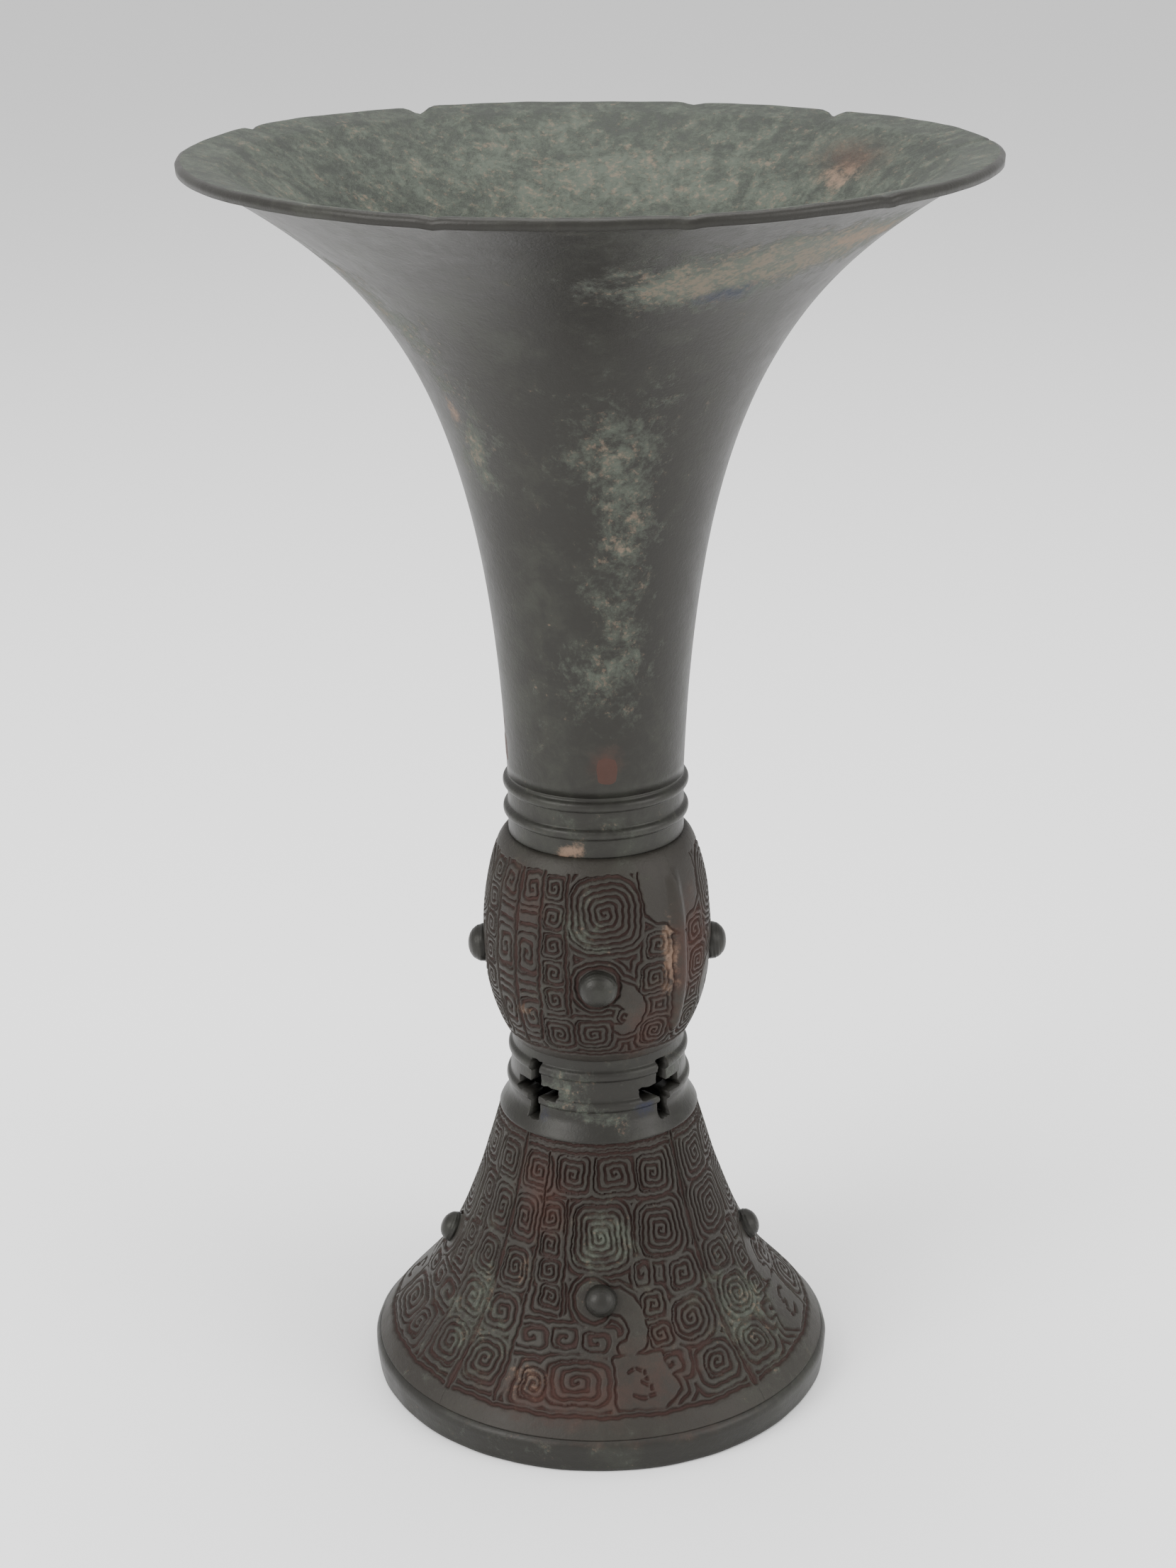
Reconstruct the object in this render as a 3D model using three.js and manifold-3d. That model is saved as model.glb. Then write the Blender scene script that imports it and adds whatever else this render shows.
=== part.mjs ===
// Chinese ritual bronze wine vessel of the gu shape: a trumpet mouth over a bulging middle and a splayed foot.
// Millimetres, +Z up, origin at the centre of the resting face. Every section is a body of revolution about Z.
import * as THREE from 'three';
import { mergeVertices } from 'three/addons/utils/BufferGeometryUtils.js';
import Module from 'manifold-3d';

const wasm = await Module();
wasm.setup();

// Heights of the joints between the cast sections, measured from the resting face.
const BAND_TOP_Z = 7.4;
const SKIRT_TOP_Z = 61.8;
const COLLAR_TOP_Z = 79.6;
const KNOP_TOP_Z = 125.2;
const NECK_TOP_Z = 138.2;
const VESSEL_HEIGHT = 265;

// Outside radii.
const BASE_R = 49.6;
const BAND_R = 50.2;
const SKIRT_FOOT_R = 49;
const SKIRT_TOP_R = 21.3;
const COLLAR_FOOT_R = 18.9;
const COLLAR_TOP_R = 18.2;
const KNOP_R = 24.1;
const KNOP_FOOT_R = 18.4;
const KNOP_HEAD_R = 18.6;
const NECK_R = 18.3;
const MOUTH_R = 79.1;

// Walls and running sizes.
const FOOT_WALL = 2.6;
const BAND_WALL = 3.6;
const COLLAR_WALL = 3.4;
const KNOP_WALL = 2.8;
const NECK_WALL = 2.4;
const LIP_THICKNESS = 3.0;
const LIP_BEVEL = 1.1;
const FIT_GAP = 0.3;
const FLOOR_THICKNESS = 2.6;
const FLOOR_LEDGE = 2.0;

// Cord-like raised rings.
const RING_RISE = 1.0;
const RING_HALF_HEIGHT = 1.3;
const NECK_RING_Z = [130.3, 136.3];
const COLLAR_RING_Z = [69.1, 76.0];
const COLLAR_RING_RISE = 1.5;

// Shape of the knop: widest at this height, with one fullness above it and one below.
const KNOP_BELLY_Z = 101;
const KNOP_FULLNESS_ABOVE = 0.6;
const KNOP_FULLNESS_BELOW = 0.8;

// Handles of the curves of the trumpet and the skirt: a direction (radius, height) times a length.
const TRUMPET_LOW_HANDLE = [3.2, 86.9];
const TRUMPET_HIGH_HANDLE = [-35, -20.8];
const SKIRT_LOW_HANDLE = [-7.2, 10.9];
const SKIRT_HIGH_HANDLE = [11.1, -43];

// Cross-shaped openings left by the supports of the core.
const CROSS_Z = 71;
const CROSS_HEIGHT = 14;
const CROSS_WIDTH = 12.4;
const CROSS_UPRIGHT = 3.2;
const CROSS_ARM = 2.8;
const CROSS_COUNT = 4;

// Bosses, which are the eyes of the masks, and the nose ridges between them.
const BOSS_COUNT = 4;
const KNOP_BOSS_Z = 99;
const KNOP_BOSS_R = 4.0;
const KNOP_BOSS_RISE = 3.3;
const FOOT_BOSS_Z = 30.6;
const FOOT_BOSS_R = 3.4;
const FOOT_BOSS_RISE = 3.0;
const RIDGE_LOW_Z = 84.5;
const RIDGE_HIGH_Z = 121.5;
const RIDGE_HALF_WIDTH = 2.6;
const RIDGE_RISE = 1.5;
const RIDGE_COUNT = 2;

// Spacer plates that held the core away from the mould; they stay in the neck wall.
const SPACER_COUNT = 4;
const SPACER_Z = 144.2;
const SPACER_WIDTH = 4.6;
const SPACER_HEIGHT = 6.2;
const SPACER_START_DEG = 7;

const AROUND = 48;
const DEG = Math.PI / 180;

const bronze = new THREE.MeshStandardMaterial({ color: 0x3d3d39, roughness: 0.5, metalness: 0.75 });
const figuredBronze = new THREE.MeshStandardMaterial({ color: 0x463a36, roughness: 0.62, metalness: 0.6 });
const spacerBronze = new THREE.MeshStandardMaterial({ color: 0x5c443b, roughness: 0.6, metalness: 0.6 });

/** Points [radius, height] on a cubic curve between two ends with a handle at each. */
function curve(from, fromHandle, to, toHandle, steps) {
  const bezier = new THREE.CubicBezierCurve(
    new THREE.Vector2(...from),
    new THREE.Vector2(from[0] + fromHandle[0], from[1] + fromHandle[1]),
    new THREE.Vector2(to[0] + toHandle[0], to[1] + toHandle[1]),
    new THREE.Vector2(...to),
  );
  return bezier.getPoints(steps).map((point) => [point.x, point.y]);
}

/** Rise of a rounded ring above the wall at a height. */
function ringRise(z, centres, rise) {
  return centres.reduce((sum, centre) => {
    const t = (z - centre) / RING_HALF_HEIGHT;
    return sum + (Math.abs(t) < 1 ? rise * Math.cos((t * Math.PI) / 2) : 0);
  }, 0);
}

/** Heights at which a ringed tube needs points: its ends, and five on each ring. */
function ringedHeights(low, high, centres) {
  const onRings = centres.flatMap((centre) => [-1, -0.6, 0, 0.6, 1].map((t) => centre + t * RING_HALF_HEIGHT));
  return [low, ...onRings, high];
}

/** Turns a closed outline of [radius, height] points about Z, with its faces pointing out. */
function revolve(outline, around = AROUND) {
  const closed = [...outline, outline[0]].map(([r, z]) => new THREE.Vector2(Math.max(r, 0), z));
  const geometry = new THREE.LatheGeometry(closed, around);
  geometry.rotateX(Math.PI / 2);
  return outward(geometry);
}

/** Turns an outline that starts and ends on the axis. */
function revolveSolid(outline, around = AROUND) {
  const geometry = new THREE.LatheGeometry(outline.map(([r, z]) => new THREE.Vector2(r, z)), around);
  geometry.rotateX(Math.PI / 2);
  return outward(geometry);
}

/** Merges shared vertices and drops triangles with no area. */
function welded(geometry) {
  const bare = geometry.index ? geometry.clone() : geometry;
  bare.deleteAttribute('normal');
  bare.deleteAttribute('uv');
  const merged = mergeVertices(bare, 1e-4);
  const index = merged.index.array;
  const kept = [];
  for (let i = 0; i < index.length; i += 3) {
    const [a, b, c] = [index[i], index[i + 1], index[i + 2]];
    if (a !== b && b !== c && a !== c) kept.push(a, b, c);
  }
  merged.setIndex(kept);
  return merged;
}

/** The welded geometry, turned inside out if its signed volume is negative. */
function outward(geometry) {
  const solid = welded(geometry);
  const p = solid.attributes.position;
  const index = solid.index.array;
  const [a, b, c] = [new THREE.Vector3(), new THREE.Vector3(), new THREE.Vector3()];
  let volume = 0;
  for (let i = 0; i < index.length; i += 3) {
    a.fromBufferAttribute(p, index[i]);
    b.fromBufferAttribute(p, index[i + 1]);
    c.fromBufferAttribute(p, index[i + 2]);
    volume += a.dot(b.cross(c));
  }
  if (volume < 0) solid.setIndex(Array.from(index).reverse());
  return solid;
}

/** A closed geometry as a solid for cutting and joining. */
function toSolid(geometry) {
  const closed = outward(geometry);
  return new wasm.Manifold(new wasm.Mesh({
    numProp: 3,
    vertProperties: new Float32Array(closed.attributes.position.array),
    triVerts: new Uint32Array(closed.index.array),
  }));
}

/** A solid as a geometry. */
function toGeometry(solid) {
  const mesh = solid.getMesh();
  const geometry = new THREE.BufferGeometry();
  const points = new Float32Array((mesh.vertProperties.length / mesh.numProp) * 3);
  for (let i = 0; i < points.length / 3; i += 1) {
    points.set(mesh.vertProperties.slice(i * mesh.numProp, i * mesh.numProp + 3), i * 3);
  }
  geometry.setAttribute('position', new THREE.BufferAttribute(points, 3));
  geometry.setIndex(Array.from(mesh.triVerts));
  return geometry;
}

/** Outside radius of the knop at a height. */
function knopRadius(z) {
  const above = z > KNOP_BELLY_Z;
  const end = above ? KNOP_TOP_Z : COLLAR_TOP_Z;
  const endRadius = above ? KNOP_HEAD_R : KNOP_FOOT_R;
  const t = Math.min(Math.abs((z - KNOP_BELLY_Z) / (end - KNOP_BELLY_Z)), 1);
  return endRadius + (KNOP_R - endRadius) * (1 - t * t) ** (above ? KNOP_FULLNESS_ABOVE : KNOP_FULLNESS_BELOW);
}

const skirtOutline = curve([SKIRT_FOOT_R, BAND_TOP_Z], SKIRT_LOW_HANDLE, [SKIRT_TOP_R, SKIRT_TOP_Z], SKIRT_HIGH_HANDLE, 12);
const trumpetOutline = curve([NECK_R, NECK_TOP_Z], TRUMPET_LOW_HANDLE, [MOUTH_R, VESSEL_HEIGHT], TRUMPET_HIGH_HANDLE, 18);

/** Outside radius of the skirt at a height, read off its outline. */
function skirtRadius(z) {
  const i = skirtOutline.findIndex(([, height]) => height >= z);
  const [[r0, z0], [r1, z1]] = [skirtOutline[i - 1], skirtOutline[i]];
  return r0 + ((r1 - r0) * (z - z0)) / (z1 - z0);
}

/** The inside of a wall: each outline point moved in, square to the outline, by the wall's thickness there. */
function inset(outline, wallAt) {
  return outline.map(([r, z], i) => {
    const [r0, z0] = outline[Math.max(i - 1, 0)];
    const [r1, z1] = outline[Math.min(i + 1, outline.length - 1)];
    const length = Math.hypot(r1 - r0, z1 - z0);
    const wall = wallAt(i / (outline.length - 1));
    const atEnd = i === 0 || i === outline.length - 1;
    return atEnd ? [r - (wall * length) / Math.abs(z1 - z0), z] : [r - (wall * (z1 - z0)) / length, z + (wall * (r1 - r0)) / length];
  });
}

/** A section of wall between its outline and the inset of it. */
function shell(outline, inner) {
  return revolve([...outline, ...inner.reverse()]);
}

/** The trumpet, from the neck to the lip. The lip's top is bevelled towards the inside. */
function trumpetGeometry() {
  const outer = trumpetOutline.slice(0, -1);
  const inner = inset(trumpetOutline, (t) => NECK_WALL + (LIP_THICKNESS - NECK_WALL) * t).slice(0, -1);
  const lip = [
    [MOUTH_R, VESSEL_HEIGHT - LIP_THICKNESS * 0.75],
    [MOUTH_R, VESSEL_HEIGHT - LIP_BEVEL],
    [MOUTH_R - LIP_BEVEL, VESSEL_HEIGHT],
    [MOUTH_R - LIP_BEVEL * 2.2, VESSEL_HEIGHT],
  ];
  return revolve([...outer, ...lip, ...inner.reverse()]);
}

/** The short ringed tube between the knop and the trumpet. */
function neckCollarGeometry() {
  const outer = ringedHeights(KNOP_TOP_Z, NECK_TOP_Z, NECK_RING_Z)
    .map((z) => [NECK_R + ringRise(z, NECK_RING_Z, RING_RISE), z]);
  return revolve([...outer, [NECK_R - NECK_WALL, NECK_TOP_Z], [NECK_R - NECK_WALL, KNOP_TOP_Z]]);
}

/** The bulging middle, with the lower end of the bowl inside it. */
function knopGeometry() {
  const steps = 14;
  const outer = Array.from({ length: steps + 1 }, (_, i) => {
    const t = (1 - Math.cos((Math.PI * i) / steps)) / 2;
    const z = COLLAR_TOP_Z + (KNOP_TOP_Z - COLLAR_TOP_Z) * t;
    return [knopRadius(z), z];
  });
  const innerHeights = Array.from({ length: 8 }, (_, i) => COLLAR_TOP_Z + ((KNOP_TOP_Z - COLLAR_TOP_Z) * i) / 7);
  const inner = innerHeights.map((z) => [knopRadius(z) - KNOP_WALL, z]);
  return revolve([...outer, ...inner.reverse()]);
}

/** The disc that closes the bowl; it lies on the collar's top face inside the knop. */
function bowlFloorGeometry() {
  const radius = KNOP_FOOT_R - KNOP_WALL - FIT_GAP;
  return revolveSolid([
    [0, COLLAR_TOP_Z],
    [radius, COLLAR_TOP_Z],
    [radius, COLLAR_TOP_Z + FLOOR_THICKNESS],
    [radius * 0.55, COLLAR_TOP_Z + FLOOR_THICKNESS * 0.85],
    [0, COLLAR_TOP_Z + FLOOR_THICKNESS * 0.8],
  ]);
}

/** An upright cross prism that reaches out from the axis at an angle. */
function crossCutter(angle) {
  const [w, h, a, u] = [CROSS_WIDTH / 2, CROSS_HEIGHT / 2, CROSS_ARM / 2, CROSS_UPRIGHT / 2];
  const corners = [[-u, -h], [u, -h], [u, -a], [w, -a], [w, a], [u, a], [u, h], [-u, h], [-u, a], [-w, a], [-w, -a], [-u, -a]];
  const plus = new THREE.Shape(corners.map(([x, y]) => new THREE.Vector2(x, y)));
  const geometry = new THREE.ExtrudeGeometry(plus, { depth: KNOP_R, bevelEnabled: false });
  geometry.rotateX(Math.PI / 2);
  geometry.translate(0, -COLLAR_WALL, CROSS_Z);
  geometry.rotateZ(angle);
  return geometry;
}

/** The plain ringed tube under the knop, pierced by the crosses. */
function piercedCollarGeometry() {
  const wallAt = (z) => COLLAR_FOOT_R + ((COLLAR_TOP_R - COLLAR_FOOT_R) * (z - COLLAR_RING_Z[0])) / (COLLAR_TOP_Z - COLLAR_RING_Z[0]);
  const flareFrom = COLLAR_RING_Z[0] - RING_HALF_HEIGHT;
  const outer = [
    [SKIRT_TOP_R, SKIRT_TOP_Z],
    [(SKIRT_TOP_R + COLLAR_FOOT_R) / 2 - 0.25, (SKIRT_TOP_Z + flareFrom) / 2],
    ...ringedHeights(SKIRT_TOP_Z, COLLAR_TOP_Z, COLLAR_RING_Z).slice(1)
      .map((z) => [wallAt(z) + ringRise(z, COLLAR_RING_Z, COLLAR_RING_RISE), z]),
  ];
  const inner = [
    [COLLAR_TOP_R - COLLAR_WALL - FLOOR_LEDGE, COLLAR_TOP_Z],
    [COLLAR_TOP_R - COLLAR_WALL, COLLAR_TOP_Z - FLOOR_LEDGE],
    [COLLAR_FOOT_R - COLLAR_WALL, CROSS_Z - CROSS_HEIGHT / 2],
    [SKIRT_TOP_R - FOOT_WALL, SKIRT_TOP_Z],
  ];
  let solid = toSolid(revolve([...outer, ...inner]));
  for (let i = 0; i < CROSS_COUNT; i += 1) {
    solid = solid.subtract(toSolid(crossCutter(((2 * i + 1) * Math.PI) / CROSS_COUNT)));
  }
  return toGeometry(solid);
}

/** The splayed, decorated wall of the foot. */
function skirtGeometry() {
  const inner = inset(skirtOutline, () => FOOT_WALL);
  return shell(skirtOutline, inner);
}

/** The plain band that the vessel stands on. */
function baseBandGeometry() {
  const shoulder = 1.0;
  const innerTop = skirtInnerFootRadius();
  return revolve([
    [BASE_R - BAND_WALL, 0],
    [BASE_R, 0],
    [BAND_R, BAND_TOP_Z - shoulder],
    [SKIRT_FOOT_R, BAND_TOP_Z],
    [innerTop, BAND_TOP_Z],
  ]);
}

/** Inside radius of the skirt where it meets the band. */
function skirtInnerFootRadius() {
  return inset(skirtOutline, () => FOOT_WALL)[0][0];
}

/** A domed boss that stands out along +Y from a radius, with a round foot sunk for cutting. */
function bossGeometry(radius, rise, seatRadius, z, tilt) {
  const steps = 4;
  const sink = 2.4;
  const dome = Array.from({ length: steps + 1 }, (_, i) => {
    const angle = ((Math.PI / 2) * i) / steps;
    return [i === steps ? 0 : radius * Math.cos(angle), rise * Math.sin(angle)];
  });
  const geometry = revolveSolid([[0, -sink], [radius, -sink], ...dome], 16);
  geometry.rotateX(-Math.PI / 2 + tilt);
  geometry.translate(0, seatRadius, z);
  return geometry;
}

/** A low ridge with a sharp arris that follows the knop, with its foot sunk for cutting. */
function ridgeGeometry() {
  const steps = 10;
  const sink = 1.2;
  const points = [];
  const faces = [];
  for (let i = 0; i <= steps; i += 1) {
    const t = i / steps;
    const z = RIDGE_LOW_Z + (RIDGE_HIGH_Z - RIDGE_LOW_Z) * t;
    const r = knopRadius(z);
    const fade = Math.sin(Math.PI * Math.min(Math.max(t, 0.04), 0.96)) ** 0.5;
    const half = RIDGE_HALF_WIDTH * (0.6 + 0.4 * fade);
    points.push([-half, r - sink, z], [half, r - sink, z], [half, r + FIT_GAP * 0.5, z]);
    points.push([0, r + FIT_GAP + RIDGE_RISE * fade, z], [-half, r + FIT_GAP * 0.5, z]);
  }
  for (let i = 0; i < steps; i += 1) {
    for (let k = 0; k < 5; k += 1) {
      const [a, b] = [i * 5 + k, i * 5 + ((k + 1) % 5)];
      faces.push(a, b, b + 5, a, b + 5, a + 5);
    }
  }
  const last = steps * 5;
  faces.push(0, 2, 1, 0, 3, 2, 0, 4, 3, last, last + 1, last + 2, last, last + 2, last + 3, last, last + 3, last + 4);
  const geometry = new THREE.BufferGeometry();
  geometry.setAttribute('position', new THREE.Float32BufferAttribute(points.flat(), 3));
  geometry.setIndex(faces);
  return geometry;
}

/** The space that a seated piece keeps clear of: a wall's outline and everything inside it, grown by the gap. */
function seatBody(outline) {
  const grown = outline.map(([r, z]) => [r + FIT_GAP, z]);
  const [low, high] = [grown[0][1], grown[grown.length - 1][1]];
  return toSolid(revolveSolid([[0, low], ...grown, [0, high]]));
}

/** A plate that stands through the neck wall at an angle, grown all round by a clearance. */
function spacerBlock(angle, clearance) {
  const depth = NECK_R;
  const block = new THREE.BoxGeometry(SPACER_WIDTH + clearance * 2, depth, SPACER_HEIGHT + clearance * 2);
  block.translate(0, NECK_R - NECK_WALL * 2 + depth / 2, SPACER_Z);
  block.rotateZ(angle);
  return toSolid(block);
}

const vessel = new THREE.Group();

/** Adds a named piece. */
function add(name, geometry, material) {
  const mesh = new THREE.Mesh(geometry, material);
  mesh.name = name;
  vessel.add(mesh);
}

const trumpet = toSolid(trumpetGeometry());
const spacerAngles = Array.from({ length: SPACER_COUNT }, (_, i) => SPACER_START_DEG * DEG + Math.PI + (2 * Math.PI * i) / SPACER_COUNT);
const pocketed = spacerAngles.reduce((solid, angle) => solid.subtract(spacerBlock(angle, FIT_GAP)), trumpet);
add('mouth_trumpet', toGeometry(pocketed), bronze);
spacerAngles.forEach((angle, i) => {
  add(`core_spacer_${i + 1}`, toGeometry(trumpet.intersect(spacerBlock(angle, 0))), spacerBronze);
});
add('neck_collar', neckCollarGeometry(), bronze);
add('knop_shell', knopGeometry(), figuredBronze);
add('bowl_floor', bowlFloorGeometry(), bronze);
add('pierced_collar', piercedCollarGeometry(), bronze);
add('foot_skirt', skirtGeometry(), figuredBronze);
add('base_band', baseBandGeometry(), bronze);

const knopSteps = 24;
const knopSeat = seatBody(Array.from({ length: knopSteps + 1 }, (_, i) => {
  const z = COLLAR_TOP_Z + ((KNOP_TOP_Z - COLLAR_TOP_Z) * i) / knopSteps;
  return [knopRadius(z), z];
}));
const skirtSeat = seatBody(skirtOutline);
const skirtSlope = Math.atan2(skirtRadius(FOOT_BOSS_Z - FOOT_BOSS_R) - skirtRadius(FOOT_BOSS_Z + FOOT_BOSS_R), 2 * FOOT_BOSS_R);

for (let i = 0; i < BOSS_COUNT; i += 1) {
  const angle = (2 * Math.PI * i) / BOSS_COUNT;
  const knopBoss = bossGeometry(KNOP_BOSS_R, KNOP_BOSS_RISE, knopRadius(KNOP_BOSS_Z), KNOP_BOSS_Z, 0);
  knopBoss.rotateZ(angle);
  add(`knop_eye_boss_${i + 1}`, toGeometry(toSolid(knopBoss).subtract(knopSeat)), bronze);
  const footBoss = bossGeometry(FOOT_BOSS_R, FOOT_BOSS_RISE, skirtRadius(FOOT_BOSS_Z), FOOT_BOSS_Z, skirtSlope);
  footBoss.rotateZ(angle);
  add(`foot_eye_boss_${i + 1}`, toGeometry(toSolid(footBoss).subtract(skirtSeat)), bronze);
}
for (let i = 0; i < RIDGE_COUNT; i += 1) {
  const ridge = toSolid(ridgeGeometry());
  const angle = -Math.PI * 0.75 + (2 * Math.PI * i) / RIDGE_COUNT;
  const turned = new THREE.Matrix4().makeRotationZ(angle);
  const cut = toGeometry(ridge);
  cut.applyMatrix4(turned);
  add(`nose_ridge_${i + 1}`, toGeometry(toSolid(cut).subtract(knopSeat)), figuredBronze);
}

export default vessel;
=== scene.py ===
"""Ancient Chinese bronze wine vessel of the gu shape, built in metres over its CAD frame.

The vessel's axis is +Z and it stands on z = 0. The photographed side faces -Y.
"""

import logging
import math
from dataclasses import dataclass
from enum import Enum
from typing import Callable, Sequence, Union

import bpy
import numpy as np
from mathutils import Matrix, Vector


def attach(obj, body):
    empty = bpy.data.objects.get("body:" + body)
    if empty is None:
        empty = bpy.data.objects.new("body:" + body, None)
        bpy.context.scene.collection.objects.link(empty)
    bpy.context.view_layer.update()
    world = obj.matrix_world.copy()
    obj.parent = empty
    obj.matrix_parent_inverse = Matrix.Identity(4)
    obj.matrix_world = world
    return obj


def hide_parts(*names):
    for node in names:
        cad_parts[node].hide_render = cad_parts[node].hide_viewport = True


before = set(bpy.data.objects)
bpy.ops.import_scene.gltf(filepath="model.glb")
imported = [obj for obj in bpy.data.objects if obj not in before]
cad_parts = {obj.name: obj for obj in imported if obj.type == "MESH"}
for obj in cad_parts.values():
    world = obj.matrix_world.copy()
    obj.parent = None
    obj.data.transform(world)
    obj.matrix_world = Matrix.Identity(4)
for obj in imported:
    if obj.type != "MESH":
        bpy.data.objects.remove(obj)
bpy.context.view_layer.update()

LOG = logging.getLogger("vessel")
MM = 0.001
TURN = 2.0 * math.pi
QUARTER = TURN / 4.0
FAR_AWAY = 1000.0
Array = np.ndarray
Point = tuple[float, float]
Colour = tuple[float, float, float]

# Heights of the joints between the cast sections, in millimetres from the resting face.
BAND_TOP_Z = 7.4
SKIRT_TOP_Z = 61.8
COLLAR_TOP_Z = 79.6
KNOP_TOP_Z = 125.2
NECK_TOP_Z = 138.2
VESSEL_HEIGHT = 265.0

# Outside radii in millimetres.
SKIRT_FOOT_R = 49.0
SKIRT_TOP_R = 21.3
COLLAR_FOOT_R = 18.9
COLLAR_TOP_R = 18.2
NECK_R = 18.3
MOUTH_R = 79.1

# Walls in millimetres.
FOOT_WALL = 2.6
COLLAR_WALL = 3.4
KNOP_WALL = 2.8
NECK_WALL = 2.4
LIP_THICKNESS = 3.0

# Azimuth in degrees of the first mould seam: 0 faces the camera, and azimuths grow to the right.
SEAM_AZIMUTH = -45.0

# Heights of the eyes' middles, in millimetres.
KNOP_EYE_Z = 99.0
FOOT_EYE_Z = 30.6


class Slot(Enum):
    """The record's material slots."""

    PLAIN = "plain_bronze"
    FIGURED = "figured_bronze"
    SPACER = "spacer_bronze"


class Mask(Enum):
    """Names of the attributes that carry a value per vertex to the shaders."""

    GROOVE = "groove"
    GREEN = "green_mask"
    TAN = "tan_mask"
    BLUE = "blue_mask"
    RED = "red_mask"
    WORN = "worn_mask"


# Numeric helpers


def smoothstep(low: float, high: float, value: Array) -> Array:
    """Rises smoothly from 0 at low to 1 at high.

    Args:
        low: Value at which the result starts to rise.
        high: Value at which the result reaches 1.
        value: Array of any shape.

    Returns:
        An array of the same shape, between 0 and 1.
    """
    t = np.clip((value - low) / (high - low), 0.0, 1.0)
    return t * t * (3.0 - 2.0 * t)


def degrees_from(theta: Array, azimuth: float) -> Array:
    """Degrees from an azimuth the short way round.

    Args:
        theta: Azimuths in radians.
        azimuth: Azimuth in degrees that they are measured from.

    Returns:
        Angles from -180 to 180, shaped like theta.
    """
    return (np.degrees(theta) - azimuth + 180.0) % 360.0 - 180.0


def waves(theta: Array, z: Array, seed: int, terms: int = 6) -> Array:
    """A smooth random field over azimuth and height, between about -1 and 1.

    It is a sum of sines, each with a whole number of waves round the axis and a random phase.

    Args:
        theta: Azimuth in radians.
        z: Height in metres.
        seed: Seed of the random numbers.
        terms: How many sines are summed.

    Returns:
        An array shaped like theta and z together.
    """
    rng = np.random.default_rng(seed)
    total = np.zeros(np.broadcast(theta, z).shape)
    for k in range(terms):
        around = k + 1
        lean = rng.uniform(30, 90)
        start = rng.uniform(0, TURN)
        total = total + np.sin(around * theta + lean * z + start) / around**0.8
    return total / 2.2


# Shapes of the sections


@dataclass(frozen=True)
class Curve:
    """A cubic curve of [radius, height] in millimetres, with a handle at each end.

    Attributes:
        start: First end.
        start_handle: Direction and length of the first end's handle.
        end: Last end.
        end_handle: Direction and length of the last end's handle.
    """

    start: Point
    start_handle: Point
    end: Point
    end_handle: Point

    def at(self, t: Array) -> Array:
        """Points along the curve.

        The point at t blends the four control points by the cubic Bernstein weights.

        Args:
            t: Parameters from 0 to 1, shape (n,).

        Returns:
            Points [radius, height] in metres, shape (n, 2).
        """
        p0 = np.array(self.start)
        p3 = np.array(self.end)
        p1 = p0 + self.start_handle
        p2 = p3 + self.end_handle
        u = t[:, None]
        first_half = (1 - u) ** 3 * p0 + 3 * (1 - u) ** 2 * u * p1
        return (first_half + 3 * (1 - u) * u**2 * p2 + u**3 * p3) * MM

    def radius(self, z: Array) -> Array:
        """Radius at a height, by looking it up along the curve.

        Args:
            z: Heights in metres.

        Returns:
            Radii in metres, shaped like z.
        """
        points = self.at(np.linspace(0.0, 1.0, 400))
        return np.interp(z, points[:, 1], points[:, 0])


def normals(points: Array) -> Array:
    """Directions square to an outline that runs upwards, pointing away from the axis.

    Args:
        points: Points [radius, height], shape (n, 2).

    Returns:
        Unit vectors [radius, height], shape (n, 2).
    """
    along = np.gradient(points, axis=0)
    along /= np.linalg.norm(along, axis=1)[:, None]
    return np.stack([along[:, 1], -along[:, 0]], axis=1)


TRUMPET_CURVE = Curve((NECK_R, NECK_TOP_Z), (3.2, 86.9), (MOUTH_R, VESSEL_HEIGHT), (-35.0, -20.8))
SKIRT_CURVE = Curve((SKIRT_FOOT_R, BAND_TOP_Z), (-7.2, 10.9), (SKIRT_TOP_R, SKIRT_TOP_Z), (11.1, -43.0))


@dataclass(frozen=True)
class KnopShape:
    """The outline of the knop, in millimetres.

    Attributes:
        low_z: Height of its lower end.
        belly_z: Height at which it is widest.
        high_z: Height of its upper end.
        low_r: Radius at its lower end.
        belly_r: Largest radius.
        high_r: Radius at its upper end.
        full_low: Fullness below the belly.
        full_high: Fullness above the belly.
    """

    low_z: float = COLLAR_TOP_Z
    belly_z: float = 101.0
    high_z: float = KNOP_TOP_Z
    low_r: float = 18.4
    belly_r: float = 24.1
    high_r: float = 18.6
    full_low: float = 0.8
    full_high: float = 0.6

    def radius(self, z: Array) -> Array:
        """Radius at a height.

        From the belly the radius falls to each end's as (1 - t squared) to the power of the fullness.

        Args:
            z: Heights in metres.

        Returns:
            Radii in metres, shaped like z.
        """
        h = z / MM
        above = h > self.belly_z
        end_z = np.where(above, self.high_z, self.low_z)
        end_r = np.where(above, self.high_r, self.low_r)
        power = np.where(above, self.full_high, self.full_low)
        t = np.clip(np.abs(h - self.belly_z) / np.abs(end_z - self.belly_z), 0.0, 1.0)
        return (end_r + (self.belly_r - end_r) * (1.0 - t**2) ** power) * MM


KNOP = KnopShape()


# Meshes


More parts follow.
